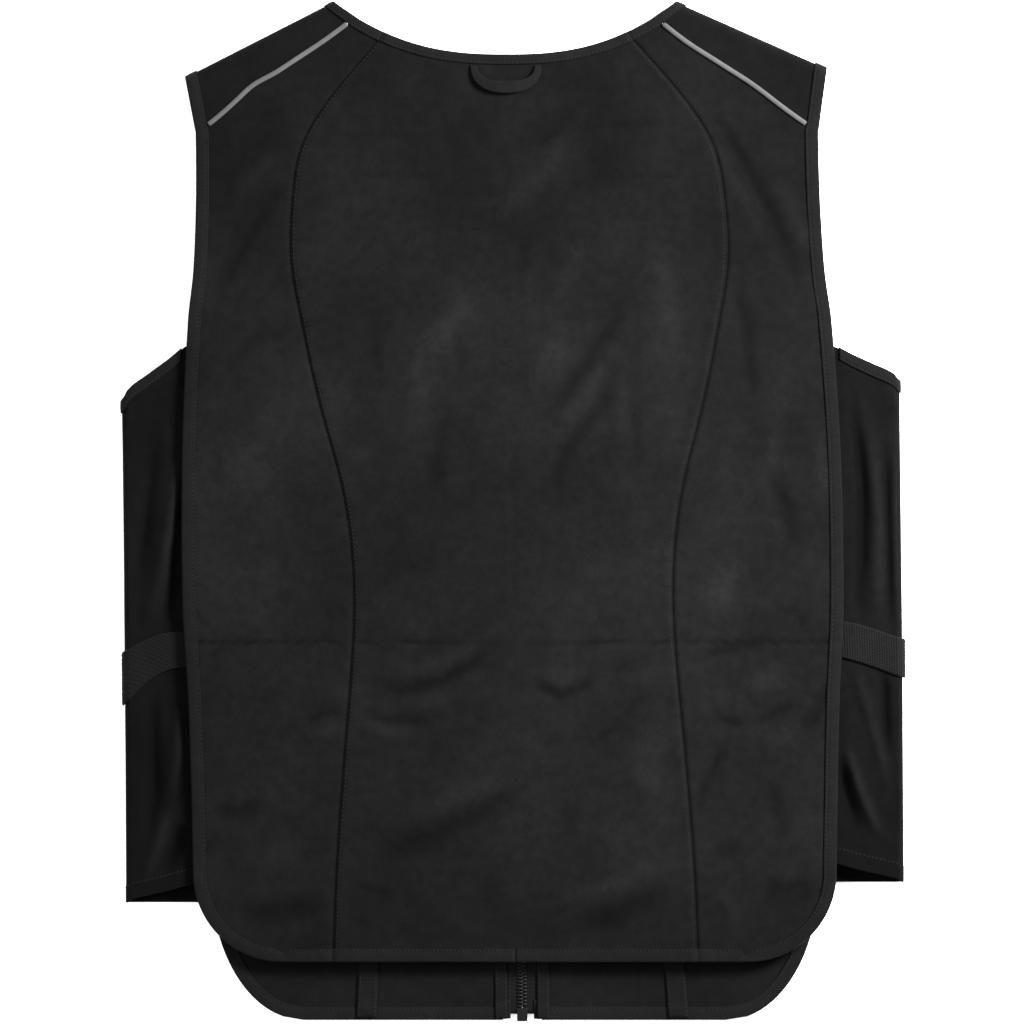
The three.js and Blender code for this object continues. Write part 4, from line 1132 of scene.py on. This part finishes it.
def seam_tape(side, sign):
    line = front_seam(np.linspace(0.0005, 0.985, 240), sign, 0)
    across = line[:, None] + plan(np.linspace(-1, 1, 9) * SEAM_TAPE_WIDE / 2, 0)[None]
    height = front_height(line[:, 0], line[:, 1]) + over_hem(line[:, 1])
    grid = lay(across, height[:, None] + CLOTH / 2 + GAP + TAPE / 2)
    tape(f"seam_tape_{side}", grid, (1, 7), [f"front_seam_tape_{side}"])


def zip_tapes(side, sign):
    """The facing beside the zip, the zip's own tape, and the tab at its foot."""
    edges = sign * np.linspace(ZIP_OPEN_HALF, ZIP_OPEN_HALF + ZIP_FACING_WIDE, 8)
    facing = front_strip(-GAP, ZIP_TOP - NECK_BINDING_WIDE, 260, edges, CLOTH / 2 + GAP + TAPE / 2)
    facing[..., 2] += over_hem(facing[..., 1] - ORIGIN_V)
    tape(f"facing_tape_{side}", facing, (1, 6), [f"zip_facing_{side}"])
    edges = sign * np.linspace(ZIP_MEET, ZIP_TAPE_HALF - GAP, 14)
    zip_cloth = front_strip(ZIP_TAPE_RISE, ZIP_TOP - ZIP_SLIDER_LONG - 2 * GAP, 150, edges, 0)
    tape(f"zip_cloth_{side}", zip_cloth, (8,), [f"zip_tape_{side}"])
    edges = sign * np.linspace(ZIP_TAB_FROM, ZIP_TAPE_HALF - GAP, 8)
    tab = front_strip(-GAP, ZIP_TAB_HIGH, 30, edges, ZIP_TAB_LIFT)
    tape(f"zip_tab_{side}", tab, (), (), BOUND)
    top_stitch(tab[-3] + (0, 0, TAPE / 2))


# Zip: small blocks at many places
def block_shape(bevel, cuts=1):
    """Points and faces of a cube from -1 to 1 with rounded edges."""
    shape = bmesh.new()
    bmesh.ops.create_cube(shape, size=2)
    bmesh.ops.bevel(shape, geom=shape.edges[:], offset=bevel, segments=cuts, profile=0.7, affect="EDGES")
    points = np.array([v.co[:] for v in shape.verts])
    faces = [tuple(v.index for v in face.verts) for face in shape.faces]
    shape.free()
    return points, faces


def place_block(q, v, z, half_q, half_v, half_z):
    origin = lay(np.array((q, v), float), z)
    return origin, np.diag((half_q, half_v, half_z)).astype(float)


def zip_parts():
    middle = CLOTH / 2 + LIFT
    low = ZIP_END_LONG - ZIP_END_BELOW_HEM + GAP
    high = ZIP_TOP - ZIP_SLIDER_LONG - 2 * GAP
    places = []
    for n, v in enumerate(np.arange(low + ZIP_PITCH / 2, high, ZIP_PITCH / 2)):
        side = 1 if n % 2 else -1
        q = float(zip_shift(v)) + side * (ZIP_TEETH_HALF / 2 - TOOTH_CROSSING)
        half_wide = ZIP_TEETH_HALF / 2 + TOOTH_REACH
        places.append(place_block(q, v, middle, half_wide, TOOTH_HALF_LONG, ZIP_TEETH_HIGH / 2))
    copies("zip_teeth_rows", *block_shape(TOOTH_BEVEL), places, TOOTH, "zip", ["zip_teeth"])
    shape, faces = block_shape(END_BEVEL, 3)
    v = ZIP_END_LONG / 2 - ZIP_END_BELOW_HEM
    place = place_block(float(zip_shift(v)), v, middle, ZIP_END_HALF, ZIP_END_LONG / 2, ZIP_TEETH_HIGH / 2)
    copies("zip_stop", shape, faces, [place], PLASTIC, "zip", ["zip_end_box"])
    v = ZIP_TOP - ZIP_SLIDER_LONG / 2
    place = place_block(float(zip_shift(v)), v, middle, ZIP_SLIDER_HALF, ZIP_SLIDER_LONG / 2, middle)
    copies("zip_runner", shape, faces, [place], PLASTIC, "zip", ["zip_slider"])


# Bindings, piping, stitching and loop
def edge_tape(side, sign, centre_front, side_front, yoke, side_grid):
    """The binding from the zip, round the hem and armhole, to the middle of the back's hem."""
    half_hem = border(centre_grid, "bottom")
    middle = len(half_hem) // 2
    half_hem = half_hem[:middle + 1] if sign < 0 else half_hem[middle:][::-1]
    half_hem[-1, [0, 3]] += sign * TAPE_OVERLAP
    path = np.concatenate((
        border(centre_front, "bottom"),
        border(side_front, "bottom"),
        border(side_front, "right"),
        border(yoke, "top", False)[::-1],
        border(side_grid, "right")[::-1],
        border(side_grid, "bottom")[::-1],
        half_hem,
    ))
    binding(f"edge_tape_{side}", path, EDGE_BINDING_WIDE, CLOTH, BOUND, [f"edge_binding_{side}"], seam_lines)


def side_top_tape(side, gusset, gusset_plan):
    shown = np.abs(gusset_plan[-1, :, 0]) > back_half(gusset_plan[-1, :, 1]) + EDGE_BINDING_WIDE / 2
    path = border(gusset, "top", False)[shown]
    nodes = [f"side_top_binding_{side}"]
    binding(f"side_top_tape_{side}", path, SIDE_TOP_BINDING_WIDE, SIDE_CLOTH, BOUND, nodes, seam_lines)


def collar(centre_front, yoke, side_grid):
    """One side of the neckline, from the zip over the shoulder to the back's centre panel."""
    neck_row = int((FRONT_ROWS < ZIP_SHARE).sum())
    neck_columns = int((SIDE_COLUMNS < NECK_SHARE).sum())
    return np.concatenate((
        border(centre_front, "left")[neck_row:],
        border(yoke, "bottom", False)[::-1],
        border(side_grid, "top")[:neck_columns][::-1],
    ))


def piping_cord(side, sign):
    length = np.linalg.norm(piping(0, 1, 0) - piping(1, 1, 0))
    clear = lambda wide: (wide + PIPING_WIDE * PIPING_CLEAR) / length
    u = np.linspace(clear(NECK_BINDING_WIDE), 1 - clear(EDGE_BINDING_WIDE), 140)
    line = piping(u, sign, 0)
    run = unit(piping(u + 0.01, sign, 0) - piping(u - 0.01, sign, 0))
    angle = np.linspace(0, 2 * np.pi, 15)[:-1]
    blunt = np.ones((len(u), 1))
    blunt[[0, -1]] = PIPING_END
    across = PIPING_WIDE / 2 * np.cos(angle)[None] * blunt
    at = line[:, None] + np.stack((-run[:, 1], run[:, 0]), -1)[:, None] * across[..., None]
    base = back_height(line[:, 0], line[:, 1])[:, None] + CLOTH / 2 + GAP
    high = base + PIPING_MIDDLE + PIPING_HALF_HIGH * np.sin(angle)[None] * blunt
    sweep(f"piping_cord_{side}", lay(at, high), GREY, "piping", [f"reflective_piping_{side}"])


def topstitching(sign, gusset, gusset_plan, gusset_low):
    """Stitches beside the princess seam and along the side panel's hem."""
    seam = back_seam(np.linspace(0.01, 0.99, 220), sign, SEAM_STITCH_INSET)
    top_stitch(lay(seam, lambda q, v: back_height(q, v) + CLOTH / 2))
    column = 90
    above_hem = gusset_plan[:, column, 1] - gusset_low[0, column]
    row = int(np.argmin(np.abs(above_hem - SIDE_HEM_TURN + 2)))
    out = -sign * grid_normals(gusset)[row]
    seam_lines.append((gusset[row] + out * (SIDE_CLOTH / 2 + 0.25), out))


def hanger_loop():
    top = LENGTH - BACK_NECK_DROP - NECK_BINDING_WIDE - 2 * GAP
    angle = np.linspace(0, np.pi, 61)
    turn = np.linspace(0, 2 * np.pi, 21)[:-1]
    power = lambda share, exponent: np.sign(share) * np.abs(share) ** exponent
    out = plan(np.cos(angle), -np.sin(angle))
    hang = LOOP_HANG * power(np.sin(angle), LOOP_SQUARE)
    middle = plan(LOOP_HALF * power(np.cos(angle), LOOP_SQUARE), top - hang)
    wide = (LOOP_END_WIDE + LOOP_MORE_WIDE * np.sin(angle) ** 1.5)[:, None]
    wide = LOOP_BAND_WIDE / 2 * power(np.cos(turn), 0.35)[None] * wide
    thick = LOOP_BAND / 2 * power(np.sin(turn), 0.6)
    at = middle[:, None] + out[:, None] * wide[..., None]
    base = back_height(at[..., 0], at[..., 1]) * 0.4 + 0.6 * back_height(middle[:, 0], middle[:, 1])[:, None]
    z = base + CLOTH / 2 + GAP + LOOP_BAND / 2 + LOOP_STAND * np.sin(angle)[:, None] + thick[None]
    sweep("loop_band", lay(at, z), BOUND, "binding", ["hanger_loop"])


def cloth(name, node, grid, thickness, material, held, rests_on=(), uv=None, painted_shade_and_tone=None, slot="cloth"):
    """A sheet of cloth that stands in for one node of the CAD."""
    piece = sheet(name, grid, thickness, material, slot, [node], uv, painted_shade_and_tone)
    runs = arcs(grid)
    a, b = np.diff(grid, axis=1)[:-1], np.diff(grid, axis=0)[:, :-1]
    list(rests_on)


# Building the vest, one side and then the other
centre_plan, centre_grid = back_centre()
neckline = []
for vest_side in SIDES:
    side, sign = vest_side["name"], vest_side["sign"]
    side_plan, side_grid = back_side(sign)
    yoke = shoulder_yoke(sign, vest_side["arm_rise"])
    centre_front_plan, centre_front = front_centre(sign)
    side_front_plan, side_front = front_side(sign)
    gusset, gusset_thick, gusset_plan, gusset_low, gusset_painted_shade = side_panel(vest_side)
    strap, strap_thick, strap_painted_shade = webbing_strap(vest_side)

    under = [f"front_side_cloth_{side}"]
    cloth(f"back_side_cloth_{side}", f"back_side_panel_{side}", side_grid, CLOTH, TWILL, "laid", under,
          side_plan, back_painted_shade_and_tone(side_plan))
    cloth(f"yoke_cloth_{side}", f"shoulder_yoke_{side}", yoke, CLOTH, YOKE_TWILL, "folded", under)
    cloth(f"front_centre_cloth_{side}", f"front_centre_panel_{side}", centre_front, CLOTH, FRONT_TWILL,
          "laid", uv=centre_front_plan)
    cloth(f"front_side_cloth_{side}", f"front_side_panel_{side}", side_front, CLOTH, FRONT_TWILL, "laid",
          uv=side_front_plan)
    cloth(f"side_cloth_{side}", f"side_panel_{side}", gusset, gusset_thick, STRETCH, "folded", under,
          painted_shade_and_tone=gusset_painted_shade, slot="stretch")
    nodes = [f"webbing_strap_{side}"]
    sheet(f"strap_band_{side}", strap, strap_thick, RIBBED, "webbing", nodes, painted_shade_and_tone=strap_painted_shade)
    edge_tape(side, sign, centre_front, side_front, yoke, side_grid)
    side_top_tape(side, gusset, gusset_plan)
    neckline.append(collar(centre_front, yoke, side_grid))
    piping_cord(side, sign)
    seam_tape(side, sign)
    zip_tapes(side, sign)
    topstitching(sign, gusset, gusset_plan, gusset_low)

fronts = [f"front_centre_cloth_{vest_side['name']}" for vest_side in SIDES]
cloth("back_centre_cloth", "back_centre_panel", centre_grid, CLOTH, TWILL, "laid", fronts,
      centre_plan, back_painted_shade_and_tone(centre_plan))
collar_path = np.concatenate((neckline[0], border(centre_grid, "top"), neckline[1][::-1]))
binding("neck_tape", collar_path, NECK_BINDING_WIDE, CLOTH, BOUND, ["neck_binding"], seam_lines)
hanger_loop()
zip_parts()
stitches("stitching", seam_lines, THREAD, "binding")

# Studio
def studio():
    mesh = bpy.data.meshes.new("floor")
    corners = [(FLOOR_HALF * x, FLOOR_HALF * y, 0) for x, y in ((-1, -1), (1, -1), (1, 1), (-1, 1))]
    mesh.from_pydata(corners, [], [(0, 1, 2, 3)])
    paper = blank("paper", Base_Color=(0.88, 0.88, 0.88, 1), Roughness=0.9,
                  Emission_Color=(1, 1, 1, 1), Emission_Strength=0.5)[0]
    mesh.materials.append(paper)
    floor = bpy.data.objects.new("floor", mesh)
    floor.location.z = -FLOOR_DROP
    bpy.context.collection.objects.link(floor)
    floor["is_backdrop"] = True

    world = bpy.data.worlds.new("studio")
    world.use_nodes = True
    put(world.node_tree.nodes["Background"], Color=(1, 1, 1, 1), Strength=SKY)
    bpy.context.scene.world = world

    for name, place, size, power in LIGHTS:
        light = bpy.data.lights.new(name, "AREA")
        light.size = size
        light.energy = power
        lamp = bpy.data.objects.new(name, light)
        lamp.location = place
        lamp.rotation_mode = "QUATERNION"
        lamp.rotation_quaternion = (-lamp.location).to_track_quat("-Z", "Y")
        lamp.visible_camera = False
        bpy.context.collection.objects.link(lamp)

    camera = bpy.data.objects.new("camera", bpy.data.cameras.new("camera"))
    camera.data.lens = SENSOR * CAMERA[2] / VIEW_WIDE
    camera.data.clip_end = 50
    camera.location = CAMERA
    bpy.context.collection.objects.link(camera)
    bpy.context.scene.camera = camera
    bpy.context.scene.view_settings.view_transform = "Standard"


studio()

sizes = {"cad": [list(corner) for corner in cad_box], "visual": [list(corner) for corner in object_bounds()]}
